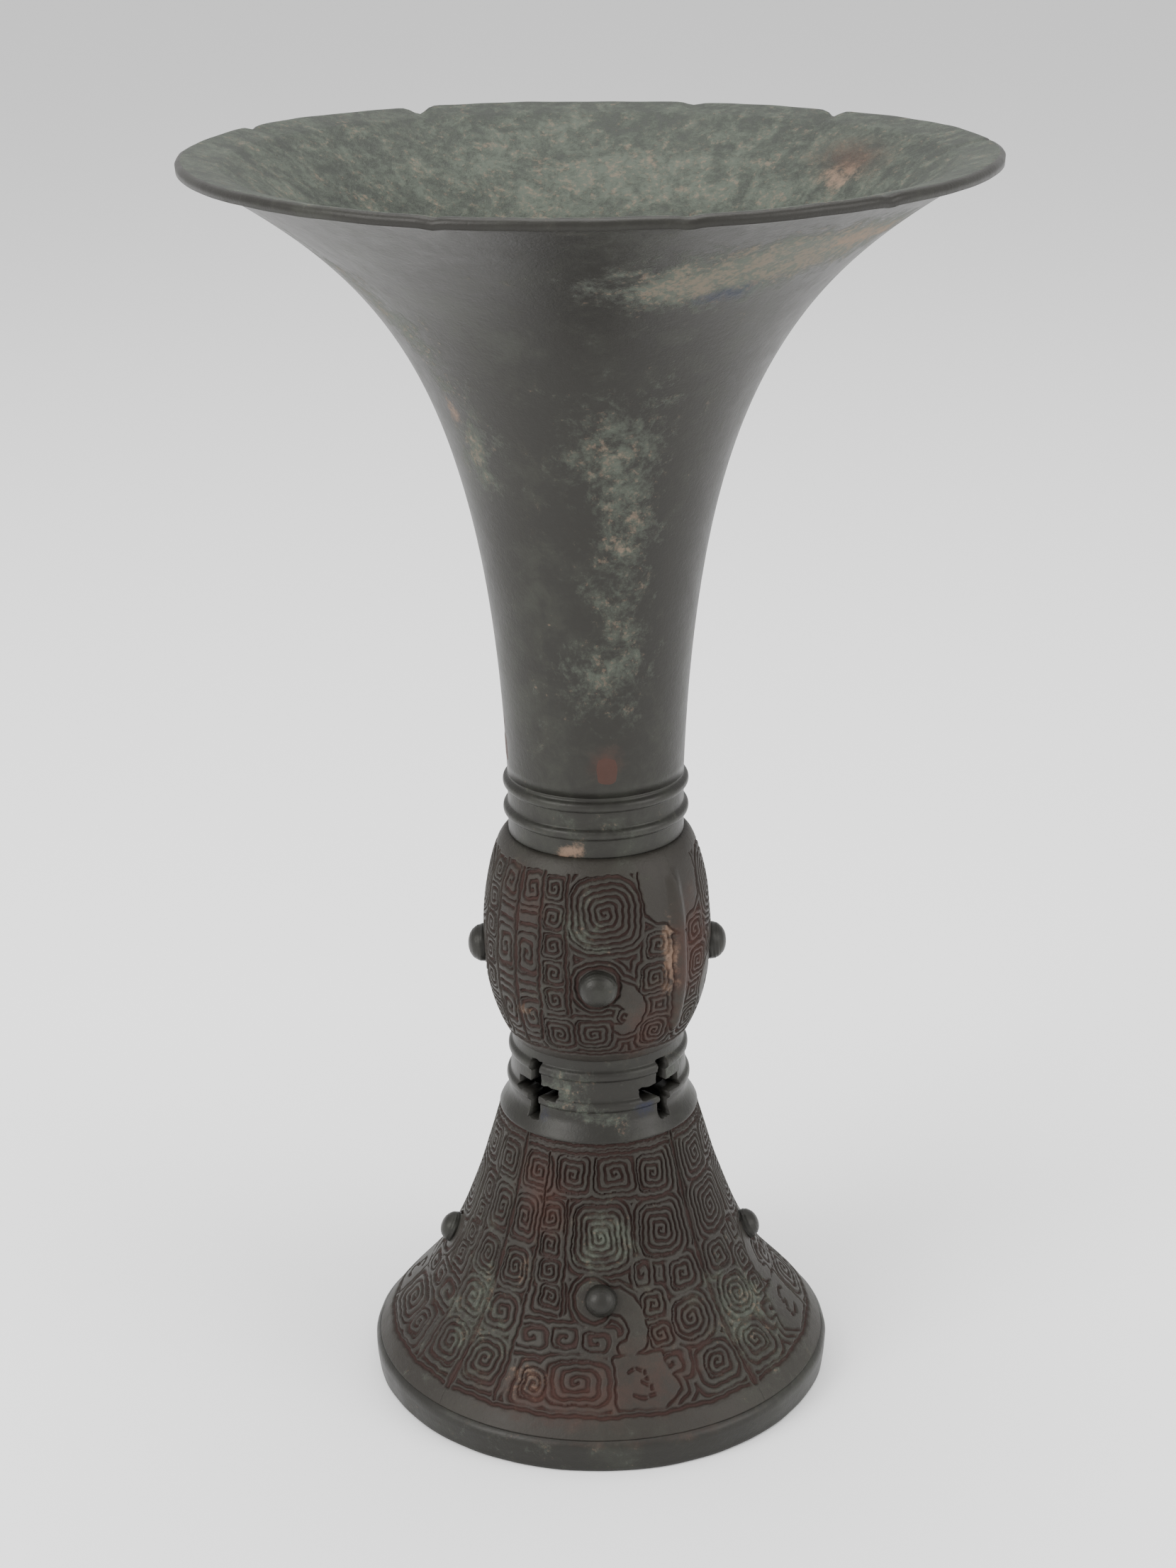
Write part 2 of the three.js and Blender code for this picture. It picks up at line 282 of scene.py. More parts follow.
def link_mesh(
    name: str, verts: Array, faces: Sequence[Sequence[int]], masks: dict[Mask, Array]
) -> bpy.types.Object:
    """Makes a smooth-shaded object from vertices and faces, with a value per vertex for each mask.

    Args:
        name: Name of the object.
        verts: Vertices in metres, shape (n, 3).
        faces: Faces as lists of vertex numbers.
        masks: Values per vertex.

    Returns:
        The linked object.
    """
    mesh = bpy.data.meshes.new(name)
    mesh.from_pydata(verts.tolist(), [], list(faces))
    mesh.validate()
    mesh.polygons.foreach_set("use_smooth", np.ones(len(mesh.polygons), dtype=bool))
    for mask in Mask:
        layer = mesh.attributes.new(mask.value, "FLOAT", "POINT")
        values = masks.get(mask, np.zeros(len(verts)))
        layer.data.foreach_set("value", np.asarray(values, dtype=np.float32).ravel())
    mesh.update()
    piece = bpy.data.objects.new(name, mesh)
    bpy.context.collection.objects.link(piece)
    return piece


def grid_faces(rows: int, columns: int, start: int = 0, wrap: bool = False, flip: bool = False) -> Array:
    """Quads of a grid of vertices numbered row by row.

    Args:
        rows: Number of rows.
        columns: Number of columns.
        start: Number of the first vertex.
        wrap: Whether the last column joins the first.
        flip: Whether the faces turn the other way.

    Returns:
        Vertex numbers, shape (quads, 4).
    """
    i = np.arange(rows - 1)[:, None]
    j = np.arange(columns if wrap else columns - 1)[None, :]
    k = (j + 1) % columns
    this_row, next_row = i * columns, (i + 1) * columns
    quads = np.stack([this_row + j, this_row + k, next_row + k, next_row + j], axis=-1)
    quads = quads.reshape(-1, 4) + start
    return quads[:, ::-1] if flip else quads


def cylinder_points(radius: Array, theta: Array, z: Array) -> Array:
    """Points from radius, azimuth and height. Azimuth 0 faces -Y and grows towards +X.

    Args:
        radius: Radii in metres.
        theta: Azimuths in radians.
        z: Heights in metres.

    Returns:
        Points, with a last axis of 3.
    """
    radius, theta, z = np.broadcast_arrays(radius, theta, z)
    return np.stack([radius * np.sin(theta), -radius * np.cos(theta), z], axis=-1)


def revolve(
    name: str,
    outline: Array,
    columns: int,
    shape: Union[Callable[[Array, Array, Array], tuple[Array, Array]], None] = None,
    masks: Union[Callable[[Array, Array, Array], dict[Mask, Array]], None] = None,
) -> bpy.types.Object:
    """Turns a closed outline about the axis; the first point isn't repeated at the end.

    Args:
        name: Name of the object.
        outline: Points [radius, height] in metres, anticlockwise with the radius to the right.
        columns: Steps round the axis.
        shape: Changes radius and height, given azimuth, radius and height.
        masks: Gives the values per vertex, from the same.

    Returns:
        The linked object.
    """
    theta = np.arange(columns)[None, :] * (TURN / columns)
    r, t, z = np.broadcast_arrays(outline[:, 0][:, None], theta, outline[:, 1][:, None])
    values = masks(t, r, z) if masks else {}
    if shape:
        r, z = shape(t, r, z)
    verts = cylinder_points(r, t, z).reshape(-1, 3)
    rows = len(outline)
    body = grid_faces(rows, columns, wrap=True)
    last = (rows - 1) * columns
    j = np.arange(columns)
    k = (j + 1) % columns
    seam = np.stack([last + j, last + k, k, j], axis=-1)
    faces = np.concatenate([body, seam])
    return link_mesh(name, verts, faces.tolist(), {m: v.reshape(-1) for m, v in values.items()})


def dense(points: Sequence[Point], step: float) -> Array:
    """Adds points along the straight runs of a closed outline.

    Args:
        points: Corners [radius, height] in millimetres.
        step: Largest distance between points, in millimetres.

    Returns:
        Points in metres, shape (n, 2).
    """
    corners = np.array(points, dtype=float)
    ahead = np.roll(corners, -1, axis=0)
    runs = []
    for a, b in zip(corners, ahead):
        count = max(int(np.ceil(np.linalg.norm(b - a) / step)), 1)
        runs.append(a + (b - a) * np.arange(count)[:, None] / count)
    return np.concatenate(runs) * MM


def slab(name: str, outer: Array, inner: Array, masks: dict[Mask, Array]) -> bpy.types.Object:
    """A closed piece of wall between an outer grid and a coarser inner one with as many columns.

    Args:
        name: Name of the object.
        outer: Outer vertices, shape (rows, columns, 3), rows going up and columns going round.
        inner: Inner vertices, shape (fewer rows, columns, 3).
        masks: Values per outer vertex.

    Returns:
        The linked object.
    """
    rows, columns, _ = outer.shape
    inner_rows = inner.shape[0]
    start = rows * columns
    front = grid_faces(rows, columns)
    back = grid_faces(inner_rows, columns, start=start, flip=True)
    j = np.arange(columns - 1)
    foot = np.stack([start + j, start + j + 1, j + 1, j], axis=-1)
    top = (rows - 1) * columns
    inner_top = start + (inner_rows - 1) * columns
    head = np.stack([top + j, top + j + 1, inner_top + j + 1, inner_top + j], axis=-1)
    faces = np.concatenate([front, back, foot, head]).tolist()
    left = [i * columns for i in range(rows)]
    left += [start + i * columns for i in reversed(range(inner_rows))]
    right = [corner + columns - 1 for corner in left]
    faces += [left, right[::-1]]
    verts = np.concatenate([outer.reshape(-1, 3), inner.reshape(-1, 3)])
    inside = np.zeros(len(verts) - start)
    padded = {mask: np.concatenate([values.reshape(-1), inside]) for mask, values in masks.items()}
    return link_mesh(name, verts, faces, padded)


# Cast pattern


@dataclass(frozen=True)
class Spiral:
    """A squared thunder spiral: one groove that winds in to the middle.

    Attributes:
        x: Middle, along the wall in millimetres from the seam.
        z: Height of the middle in millimetres.
        half_x: Half its width.
        half_z: Half its height.
        square: 2 for round, more for squarer.
        hand: 1 or -1, the way it winds.
    """

    x: float
    z: float
    half_x: float
    half_z: float
    square: float = 4.0
    hand: float = 1.0


@dataclass(frozen=True)
class Panel:
    """A plain area with straight or curved sides inside the pattern.

    Attributes:
        corners: Points (x, z) in millimetres, in order round the area.
        soften: Radius by which its corners are rounded.
    """

    corners: tuple[Point, ...]
    soften: float = 0.6


@dataclass(frozen=True)
class Stroke:
    """A single groove along a run of straight pieces.

    Attributes:
        points: Points (x, z) in millimetres.
        half_width: Half the width of the groove.
    """

    points: tuple[Point, ...]
    half_width: float = 0.35


def segment_distance(x: Array, z: Array, a: Point, b: Point) -> Array:
    """Distance to a straight piece between two points.

    Args:
        x: Coordinates along the wall.
        z: Heights.
        a: First end.
        b: Last end.

    Returns:
        Distances, shaped like x.
    """
    dx, dz = b[0] - a[0], b[1] - a[1]
    length = dx * dx + dz * dz + 1e-12
    t = np.clip(((x - a[0]) * dx + (z - a[1]) * dz) / length, 0.0, 1.0)
    return np.hypot(x - a[0] - t * dx, z - a[1] - t * dz)


def panel_distance(x: Array, z: Array, panel: Panel) -> Array:
    """Signed distance to a panel: negative inside, by the even-odd rule.

    Args:
        x: Coordinates along the wall.
        z: Heights.
        panel: The panel.

    Returns:
        Distances in millimetres, shaped like x.
    """
    corners = panel.corners
    nearest = np.full(x.shape, FAR_AWAY)
    inside = np.zeros(x.shape, dtype=bool)
    for a, b in zip(corners, corners[1:] + corners[:1]):
        nearest = np.minimum(nearest, segment_distance(x, z, a, b))
        if a[1] != b[1]:
            crosses = (a[1] > z) != (b[1] > z)
            inside ^= crosses & (x < (b[0] - a[0]) * (z - a[1]) / (b[1] - a[1]) + a[0])
    return np.where(inside, -nearest, nearest) - panel.soften


@dataclass(frozen=True)
class Register:
    """One quarter of a register's pattern; the quarters beside it are its mirror images.

    Attributes:
        low: Lower edge of the pattern in millimetres.
        high: Upper edge.
        pitch: Distance from groove to groove.
        depth: Depth of the grooves.
        eye: Middle of the eye boss (x, z).
        eye_radius: Radius of the ring round the boss.
        spirals: The spirals.
        panels: The plain areas.
        strokes: Single grooves.
    """

    low: float
    high: float
    pitch: float
    depth: float
    eye: Point
    eye_radius: float
    spirals: tuple[Spiral, ...]
    panels: tuple[Panel, ...]
    strokes: tuple[Stroke, ...]

    def grooves(self, x: Array, z: Array) -> Array:
        """How deep each point lies in a groove, from 0 on the ridges to 1 at the bottom.

        Inside a spiral the phase winds in; elsewhere it counts pitches from the nearest spiral, panel
        or eye. A groove lies at each whole phase.

        Args:
            x: Coordinates along the wall in millimetres.
            z: Heights in millimetres.

        Returns:
            Depths, shaped like x.
        """
        x, z = self.drifted(x, z)
        wound, inside, nearest = self.wind(x, z)
        plain = np.zeros(x.shape)
        for panel in self.panels:
            away = panel_distance(x, z, panel)
            plain = np.maximum(plain, 1.0 - smoothstep(-0.35, 0.0, away))
            nearest = np.where(inside, nearest, np.minimum(nearest, away))
        to_eye = np.hypot(x - self.eye[0], z - self.eye[1])
        nearest = np.minimum(nearest, to_eye - self.eye_radius)
        phase = np.where(inside, wound, nearest / self.pitch)
        cycle = np.abs(phase - np.floor(phase) - 0.5) * 2.0
        depth = smoothstep(0.36, 0.84, cycle) * (1.0 - plain)
        depth = np.where(to_eye < self.eye_radius, 0.0, depth)
        depth = np.maximum(depth, 1.0 - smoothstep(0.2, 0.55, np.abs(to_eye - self.eye_radius)))
        for stroke in self.strokes:
            depth = self.scored(depth, x, z, stroke)
        fade = 0.4
        low_edge = smoothstep(self.low, self.low + fade, z)
        return depth * low_edge * (1.0 - smoothstep(self.high - fade, self.high, z))

    def drifted(self, x: Array, z: Array) -> tuple[Array, Array]:
        """Coordinates shifted by a few slow and quick sines of each other.

        The shift is under a quarter of a millimetre, so that no line is quite straight, as in clay
        cut by hand.

        Args:
            x: Coordinates along the wall.
            z: Heights.

        Returns:
            The shifted coordinates.
        """
        drift = z * 0.61 + x * 0.23
        x = x + 0.16 * np.sin(z * 0.83 + x * 0.31) + 0.09 * np.sin(z * 2.3 + drift)
        z = z + 0.14 * np.sin(x * 0.71 + 1.3) + 0.08 * np.sin(x * 2.1 + drift * 1.7)
        return x, z

    def wind(self, x: Array, z: Array) -> tuple[Array, Array, Array]:
        """The phase of the spirals.

        A spiral's radius is the power mean of its two coordinates as shares of its half sizes. The
        phase is that radius in turns, plus the angle's share of a turn.

        Args:
            x: Coordinates along the wall.
            z: Heights.

        Returns:
            The phase, whether each point is in a spiral, and its distance to the nearest one.
        """
        nearest = np.full(x.shape, FAR_AWAY)
        wound = np.zeros(x.shape)
        inside = np.zeros(x.shape, dtype=bool)
        for spiral in self.spirals:
            u, v = (x - spiral.x) / spiral.half_x, (z - spiral.z) / spiral.half_z
            rho = (np.abs(u) ** spiral.square + np.abs(v) ** spiral.square) ** (1.0 / spiral.square)
            size = min(spiral.half_x, spiral.half_z)
            turns = max(round(size / self.pitch), 1)
            phase = rho * turns + spiral.hand * np.arctan2(v, u) / TURN
            within = (rho < 1.0) & ~inside
            wound = np.where(within, phase, wound)
            inside |= within
            nearest = np.minimum(nearest, (rho - 1.0) * size)
        return wound, inside, nearest

    def scored(self, depth: Array, x: Array, z: Array, stroke: Stroke) -> Array:
        """Cuts one stroke, with a plain ridge along each side of it.

        Args:
            depth: Depths so far.
            x: Coordinates along the wall.
            z: Heights.
            stroke: The stroke.

        Returns:
            The new depths.
        """
        half = stroke.half_width
        for a, b in zip(stroke.points, stroke.points[1:]):
            away = segment_distance(x, z, a, b)
            ridge = smoothstep(half + 0.1, half + 0.5, away)
            depth = np.minimum(depth, np.where(away > half + 0.55, depth, ridge * depth))
            depth = np.maximum(depth, 1.0 - smoothstep(half * 0.45, half + 0.15, away))
        return depth


# Length of the wall over a quarter, from the seam to the nose line, on which the patterns are laid out.
KNOP_QUARTER = 37.8
FOOT_QUARTER = 53.0

KNOP_PATTERN = Register(
    low=81.6,
    high=122.6,
    pitch=1.22,
    depth=0.55,
    eye=(KNOP_QUARTER / 2, KNOP_EYE_Z),
    eye_radius=4.6,
    spirals=(
        Spiral(3.4, 118.6, 2.9, 3.6, 5.0, 1.0),
        Spiral(3.2, 104.5, 2.6, 4.4, 5.0, -1.0),
        Spiral(3.6, 90.2, 3.0, 4.2, 4.0, 1.0),
        Spiral(9.1, 119.6, 2.2, 2.3, 5.0, 1.0),
        Spiral(9.2, 113.6, 2.2, 2.5, 5.0, -1.0),
        Spiral(9.3, 107.6, 2.2, 2.5, 5.0, 1.0),
        Spiral(9.5, 101.6, 2.2, 2.5, 5.0, -1.0),
        Spiral(9.8, 95.6, 2.2, 2.5, 5.0, 1.0),
        Spiral(10.0, 87.0, 3.6, 3.6, 4.0, -1.0),
        Spiral(20.6, 114.8, 7.9, 7.4, 3.2, 1.0),
        Spiral(32.1, 106.9, 2.6, 2.6, 5.0, -1.0),
        Spiral(31.2, 99.6, 3.2, 3.3, 5.0, 1.0),
        Spiral(32.4, 86.8, 3.6, 3.2, 3.0, -1.0),
        Spiral(18.0, 87.6, 4.0, 3.4, 6.0, 1.0),
        Spiral(25.0, 91.8, 1.6, 1.6, 3.0, -1.0),
    ),
    panels=(
        Panel((
            (21.4, 99.6), (24.0, 99.6), (26.4, 98.4), (28.2, 96.0), (28.8, 93.2), (28.2, 90.4),
            (26.4, 88.2), (24.0, 87.6), (22.6, 88.6), (22.8, 89.4), (24.4, 89.4), (25.6, 90.6),
            (25.8, 92.4), (24.8, 94.0), (23.0, 95.0), (21.4, 95.4),
        )),
        Panel((
            (29.2, 122.6), (KNOP_QUARTER, 122.6), (KNOP_QUARTER, 108.4), (35.2, 111.6), (32.4, 112.0),
            (30.0, 114.0),
        )),
        Panel(((36.4, 108.0), (KNOP_QUARTER, 108.0), (KNOP_QUARTER, 86.0), (36.8, 88.0))),
    ),
    strokes=(
        Stroke(((6.2, 123.0), (6.2, 92.0), (5.0, 84.5))),
        Stroke(((12.1, 123.0), (12.3, 92.4))),
        Stroke(((0.0, 124.2), (0.0, 80.8)), 0.55),
        Stroke(((0.0, 123.3), (KNOP_QUARTER, 123.3)), 0.3),
        Stroke(((0.0, 82.0), (KNOP_QUARTER, 82.0)), 0.3),
    ),
)

FOOT_PATTERN = Register(
    low=10.4,
    high=62.0,
    pitch=1.3,
    depth=0.6,
    eye=(24.6, FOOT_EYE_Z),
    eye_radius=4.1,
    spirals=(
        Spiral(6.6, 54.6, 5.0, 3.7, 6.0, 1.0),
        Spiral(18.2, 55.2, 5.0, 3.7, 6.0, -1.0),
        Spiral(31.2, 55.4, 6.2, 3.7, 6.0, 1.0),
        Spiral(43.6, 54.6, 5.0, 3.7, 6.0, -1.0),
        Spiral(4.4, 44.4, 3.9, 4.6, 4.0, -1.0),
        Spiral(12.6, 45.8, 2.6, 2.4, 5.0, 1.0),
        Spiral(13.2, 40.4, 2.5, 2.3, 5.0, -1.0),
        Spiral(13.9, 35.4, 2.4, 2.1, 5.0, 1.0),
        Spiral(14.8, 30.6, 2.3, 2.0, 5.0, -1.0),
        Spiral(26.4, 42.8, 7.2, 6.4, 4.4, 1.0),
        Spiral(43.3, 42.8, 6.0, 5.2, 4.0, -1.0),
        Spiral(4.6, 34.4, 3.4, 3.6, 4.0, 1.0),
        Spiral(36.6, 35.2, 1.7, 2.2, 5.0, 1.0),
        Spiral(46.8, 33.2, 3.2, 2.6, 5.0, -1.0),
        Spiral(38.0, 28.9, 2.6, 2.4, 5.0, -1.0),
        Spiral(45.9, 25.0, 4.0, 3.6, 3.0, 1.0),
        Spiral(38.6, 23.4, 2.4, 2.0, 4.0, 1.0),
        Spiral(12.4, 23.0, 3.0, 1.9, 4.0, 1.0),
        Spiral(19.2, 23.6, 2.4, 1.6, 4.0, -1.0),
        Spiral(25.6, 23.2, 2.4, 1.5, 4.0, 1.0),
        Spiral(22.4, 16.4, 5.4, 3.4, 4.0, 1.0),
        Spiral(14.6, 15.4, 2.1, 2.3, 4.0, -1.0),
        Spiral(4.4, 17.0, 3.6, 3.6, 4.0, -1.0),
        Spiral(4.2, 25.6, 3.4, 3.0, 4.0, 1.0),
        Spiral(48.0, 16.4, 2.4, 2.0, 4.0, -1.0),
        Spiral(39.4, 18.4, 2.2, 1.6, 4.0, 1.0),
    ),
    panels=(
        Panel((
            (27.8, 32.4), (30.6, 32.2), (33.4, 30.6), (35.2, 28.0), (35.6, 25.0), (34.6, 22.2),
            (32.4, 20.8), (30.6, 21.2), (30.4, 22.2), (31.8, 22.8), (32.6, 24.4), (32.4, 26.4),
            (31.0, 28.0), (29.0, 28.8), (27.6, 28.8),
        )),
        Panel(((29.2, 20.0), (37.4, 20.4), (39.4, 14.6), (36.4, 12.4), (29.6, 12.6))),
    ),
    strokes=(
        Stroke(((0.0, 61.4), (FOOT_QUARTER, 61.4)), 0.35),
        Stroke(((0.0, 59.7), (FOOT_QUARTER, 59.7)), 0.35),
        Stroke(((0.0, 11.2), (FOOT_QUARTER, 11.2)), 0.35),
        Stroke(((10.0, 59.0), (9.4, 30.0), (8.8, 12.0)), 0.3),
        Stroke(((17.2, 50.0), (17.8, 27.6)), 0.3),
        Stroke(((0.0, 62.0), (0.0, 10.4)), 0.6),
        Stroke(((FOOT_QUARTER, 62.0), (FOOT_QUARTER, 10.4)), 0.6),
        Stroke((
            (31.2, 17.9), (32.8, 18.4), (34.2, 17.9), (34.4, 16.9), (33.2, 16.2), (34.8, 15.6),
            (35.0, 14.4), (33.6, 13.7), (31.8, 14.2),
        ), 0.3),
    ),
)


# Stains of the patina


@dataclass(frozen=True)
class Blot:
    """A soft patch of corrosion on the wall.

    Attributes:
        mask: Which colour it adds.
        azimuth: Middle in degrees from the photographed side, growing to the right.
        z: Height of the middle in millimetres.
        wide: Half its width in degrees.
        high: Half its height in millimetres.
        strength: Greatest value.
        slant: Millimetres of height gained per degree.
    """

    mask: Mask
    azimuth: float
    z: float
    wide: float
    high: float
    strength: float = 1.0
    slant: float = 0.0


def stain(blots: Sequence[Blot], theta: Array, z: Array) -> dict[Mask, Array]:
    """Sums blots into one field per mask.

    Each blot falls off as a bell of its distance, measured in its own half width and height.

    Args:
        blots: The blots.
        theta: Azimuth in radians.
        z: Height in metres.

    Returns:
        A value per vertex for every mask that has a blot.
    """
    fields: dict[Mask, Array] = {}
    for blot in blots:
        turn = degrees_from(theta, blot.azimuth)
        level = z / MM - blot.z - blot.slant * turn
        bell = blot.strength * np.exp(-((turn / blot.wide) ** 2) - (level / blot.high) ** 2)
        fields[blot.mask] = fields.get(blot.mask, 0.0) + bell
    return fields


TRUMPET_BLOTS = (
    Blot(Mask.GREEN, 34, 250, 26, 6.0, 1.0, 0.02),
    Blot(Mask.GREEN, 48, 255, 26, 4.0, 0.9),
    Blot(Mask.GREEN, 14, 247, 14, 4.0, 0.7),
    Blot(Mask.BLUE, 26, 245, 10, 2.6, 1.0),
    Blot(Mask.BLUE, 40, 248, 10, 1.8, 0.7),
    Blot(Mask.TAN, 52, 254, 18, 3.0, 0.8),
    Blot(Mask.GREEN, -58, 238, 14, 13, 0.8, -0.7),
    Blot(Mask.GREEN, -50, 210, 12, 10, 0.75),
    Blot(Mask.TAN, -55, 218, 5, 4, 1.0),
    Blot(Mask.GREEN, 8, 214, 20, 16, 0.62),
    Blot(Mask.TAN, 9, 206, 12, 16, 0.25),
    Blot(Mask.GREEN, 13, 190, 20, 20, 0.58),
    Blot(Mask.TAN, 16, 192, 12, 14, 0.25),
    Blot(Mask.GREEN, 4, 165, 30, 12, 0.6),
    Blot(Mask.RED, 6.4, 146, 12, 3.4, 1.0),
    Blot(Mask.GREEN, 150, 220, 40, 22, 0.75),
    Blot(Mask.TAN, 170, 180, 14, 16, 0.5),
    Blot(Mask.RED, 96, 148, 10, 4, 0.8),
    Blot(Mask.RED, -84, 148, 10, 4, 0.8),
    Blot(Mask.GREEN, -120, 190, 25, 25, 0.6),
)
BOWL_BLOTS = (
    Blot(Mask.GREEN, 0, 240, 400, 60, 0.62),
    Blot(Mask.GREEN, 175, 252, 40, 8, 0.35),
    Blot(Mask.TAN, 181, 232, 4, 4, 1.0),
    Blot(Mask.TAN, 120, 255, 8, 3, 0.9),
    Blot(Mask.RED, 122, 258, 12, 4, 0.9),
    Blot(Mask.TAN, -140, 245, 50, 20, 0.35),
)
KNOP_BLOTS = (
    Blot(Mask.TAN, 38, 103, 5, 10, 1.0),
    Blot(Mask.TAN, -42, 92, 12, 7, 0.5),
    Blot(Mask.GREEN, -8, 112, 16, 9, 0.6),
    Blot(Mask.RED, 55, 104, 20, 12, 1.0),
    Blot(Mask.RED, 25, 88, 20, 8, 0.8),
    Blot(Mask.RED, -40, 115, 22, 8, 0.5),
    Blot(Mask.WORN, 38, 104, 6, 14, 1.0),
)
FOOT_BLOTS = (
    Blot(Mask.RED, -30, 50, 18, 10, 0.9),
    Blot(Mask.RED, 20, 20, 22, 10, 0.6),
    Blot(Mask.RED, -15, 14, 24, 5, 0.8),
    Blot(Mask.GREEN, 5, 42, 18, 9, 0.6),
    Blot(Mask.GREEN, 55, 22, 20, 10, 0.7),
    Blot(Mask.GREEN, -50, 24, 22, 12, 0.6),
    Blot(Mask.TAN, -22, 16, 8, 4, 0.7),
    Blot(Mask.TAN, -33, 34, 5, 6, 0.5),
)
COLLAR_BLOTS = (
    Blot(Mask.BLUE, 30, 68, 12, 4, 0.9),
    Blot(Mask.BLUE, -38, 66, 10, 4, 0.8),
    Blot(Mask.GREEN, -20, 72, 20, 6, 0.8),
    Blot(Mask.GREEN, 60, 74, 20, 5, 0.7),
    Blot(Mask.GREEN, 10, 66, 20, 3, 0.5),
)
NECK_BLOTS = (
    Blot(Mask.TAN, -14, 127, 9, 2.0, 0.9),
    Blot(Mask.TAN, -22, 125.5, 6, 1.6, 0.8),
    Blot(Mask.GREEN, 0, 132, 60, 4, 0.3),
)
BAND_BLOTS = (
    Blot(Mask.GREEN, -20, 5, 30, 4, 0.35),
    Blot(Mask.RED, 10, 7, 40, 1.5, 0.5),
)


# Shaders


class Sock:
    """A value in a shader: an output socket or a number, with arithmetic that adds nodes."""

    def __init__(self, tree: bpy.types.NodeTree, value: Union[bpy.types.NodeSocket, float]) -> None:
        """Wraps a value.

        Args:
            tree: Node tree that new nodes go in.
            value: Output socket or number.
        """
        self.tree = tree
        self.value = value

    def _math(self, operation: str, *others: Union["Sock", float]) -> "Sock":
        """Adds a math node fed by this value and the others, and returns its output."""
        node = self.tree.nodes.new("ShaderNodeMath")
        node.operation = operation
        for index, item in enumerate((self, *others)):
            plug(self.tree, item, node.inputs[index])
        return Sock(self.tree, node.outputs[0])

    def __add__(self, other: Union["Sock", float]) -> "Sock":
        """Sum."""
        return self._math("ADD", other)

    def __sub__(self, other: Union["Sock", float]) -> "Sock":
        """Difference."""
        return self._math("SUBTRACT", other)

    def __mul__(self, other: Union["Sock", float]) -> "Sock":
        """Product."""
        return self._math("MULTIPLY", other)

    def inverse(self) -> "Sock":
        """One less the value."""
        return Sock(self.tree, 1.0)._math("SUBTRACT", self)

    def clamped(self) -> "Sock":
        """The value held between 0 and 1."""
        return self._math("MAXIMUM", 0.0)._math("MINIMUM", 1.0)

    def step(self, low: float, high: float) -> "Sock":
        """Rises smoothly from 0 at low to 1 at high.

        Args:
            low: Value where it starts.
            high: Value where it reaches 1.

        Returns:
            The new value.
        """
        node = self.tree.nodes.new("ShaderNodeMapRange")
        node.interpolation_type = "SMOOTHSTEP"
        plug(self.tree, self, node.inputs["Value"])
        node.inputs["From Min"].default_value = low
        node.inputs["From Max"].default_value = high
        return Sock(self.tree, node.outputs["Result"])


def plug(
    tree: bpy.types.NodeTree, item: Union[Sock, float, Sequence[float]], socket: bpy.types.NodeSocket
) -> None:
    """Feeds a socket from a value: a link, or a constant on the socket itself.

    Args:
        tree: Node tree.
        item: Value to feed.
        socket: Input socket.
    """
    value = item.value if isinstance(item, Sock) else item
    if isinstance(value, bpy.types.NodeSocket):
        tree.links.new(value, socket)
    elif isinstance(value, (int, float)):
        socket.default_value = float(value)
    else:
        socket.default_value = tuple(value)


@dataclass(frozen=True)
class Finish:
    """Colours and surface of one kind of patina, in linear RGB.

    Attributes:
        base: Main colour.
        tint: Colour of the faint broad clouding.
        recess: Colour at the bottom of the grooves.
        ridge: Colour on the ridges of the pattern.
        cloud: How much of the surface is clouded green everywhere, from 0 to 1.
        roughness: Roughness of the smooth areas.
        metallic: Metallic value of the smooth areas.
        grain: Height of the fine grain, in metres.
    """

    base: Colour
    tint: Colour
    recess: Colour
    ridge: Colour
    cloud: float
    roughness: float
    metallic: float
    grain: float


SMOOTH = Finish(
    base=(0.019, 0.018, 0.0155), tint=(0.030, 0.031, 0.025), recess=(0.05, 0.022, 0.016),
    ridge=(0.06, 0.06, 0.05), cloud=0.10, roughness=0.44, metallic=0.30, grain=0.00008,
)
INSIDE = Finish(
    base=(0.026, 0.029, 0.024), tint=(0.050, 0.055, 0.044), recess=(0.05, 0.022, 0.016),
    ridge=(0.06, 0.06, 0.05), cloud=0.38, roughness=0.58, metallic=0.2, grain=0.00012,
)
FIGURED = Finish(
    base=(0.020, 0.017, 0.0145), tint=(0.030, 0.030, 0.024), recess=(0.026, 0.0105, 0.008),
    ridge=(0.031, 0.028, 0.023), cloud=0.22, roughness=0.55, metallic=0.3, grain=0.00012,
)
SPACER = Finish(
    base=(0.040, 0.020, 0.015), tint=(0.048, 0.030, 0.024), recess=(0.05, 0.022, 0.016),
    ridge=(0.1, 0.06, 0.05), cloud=0.10, roughness=0.58, metallic=0.25, grain=0.00010,
)

MALACHITE = (0.085, 0.100, 0.078)
PALE_TAN = (0.200, 0.130, 0.090)
AZURITE = (0.012, 0.015, 0.036)
CUPRITE = (0.052, 0.020, 0.014)

# Roughness where the bronze is fully corroded, and how much the bump enlarges the grain.
DULL_ROUGHNESS = 0.82
GRAIN_GAIN = 3.2

# Wear on the ridges of the pattern, from 0 to 1.
RIDGE_WEAR = 0.7


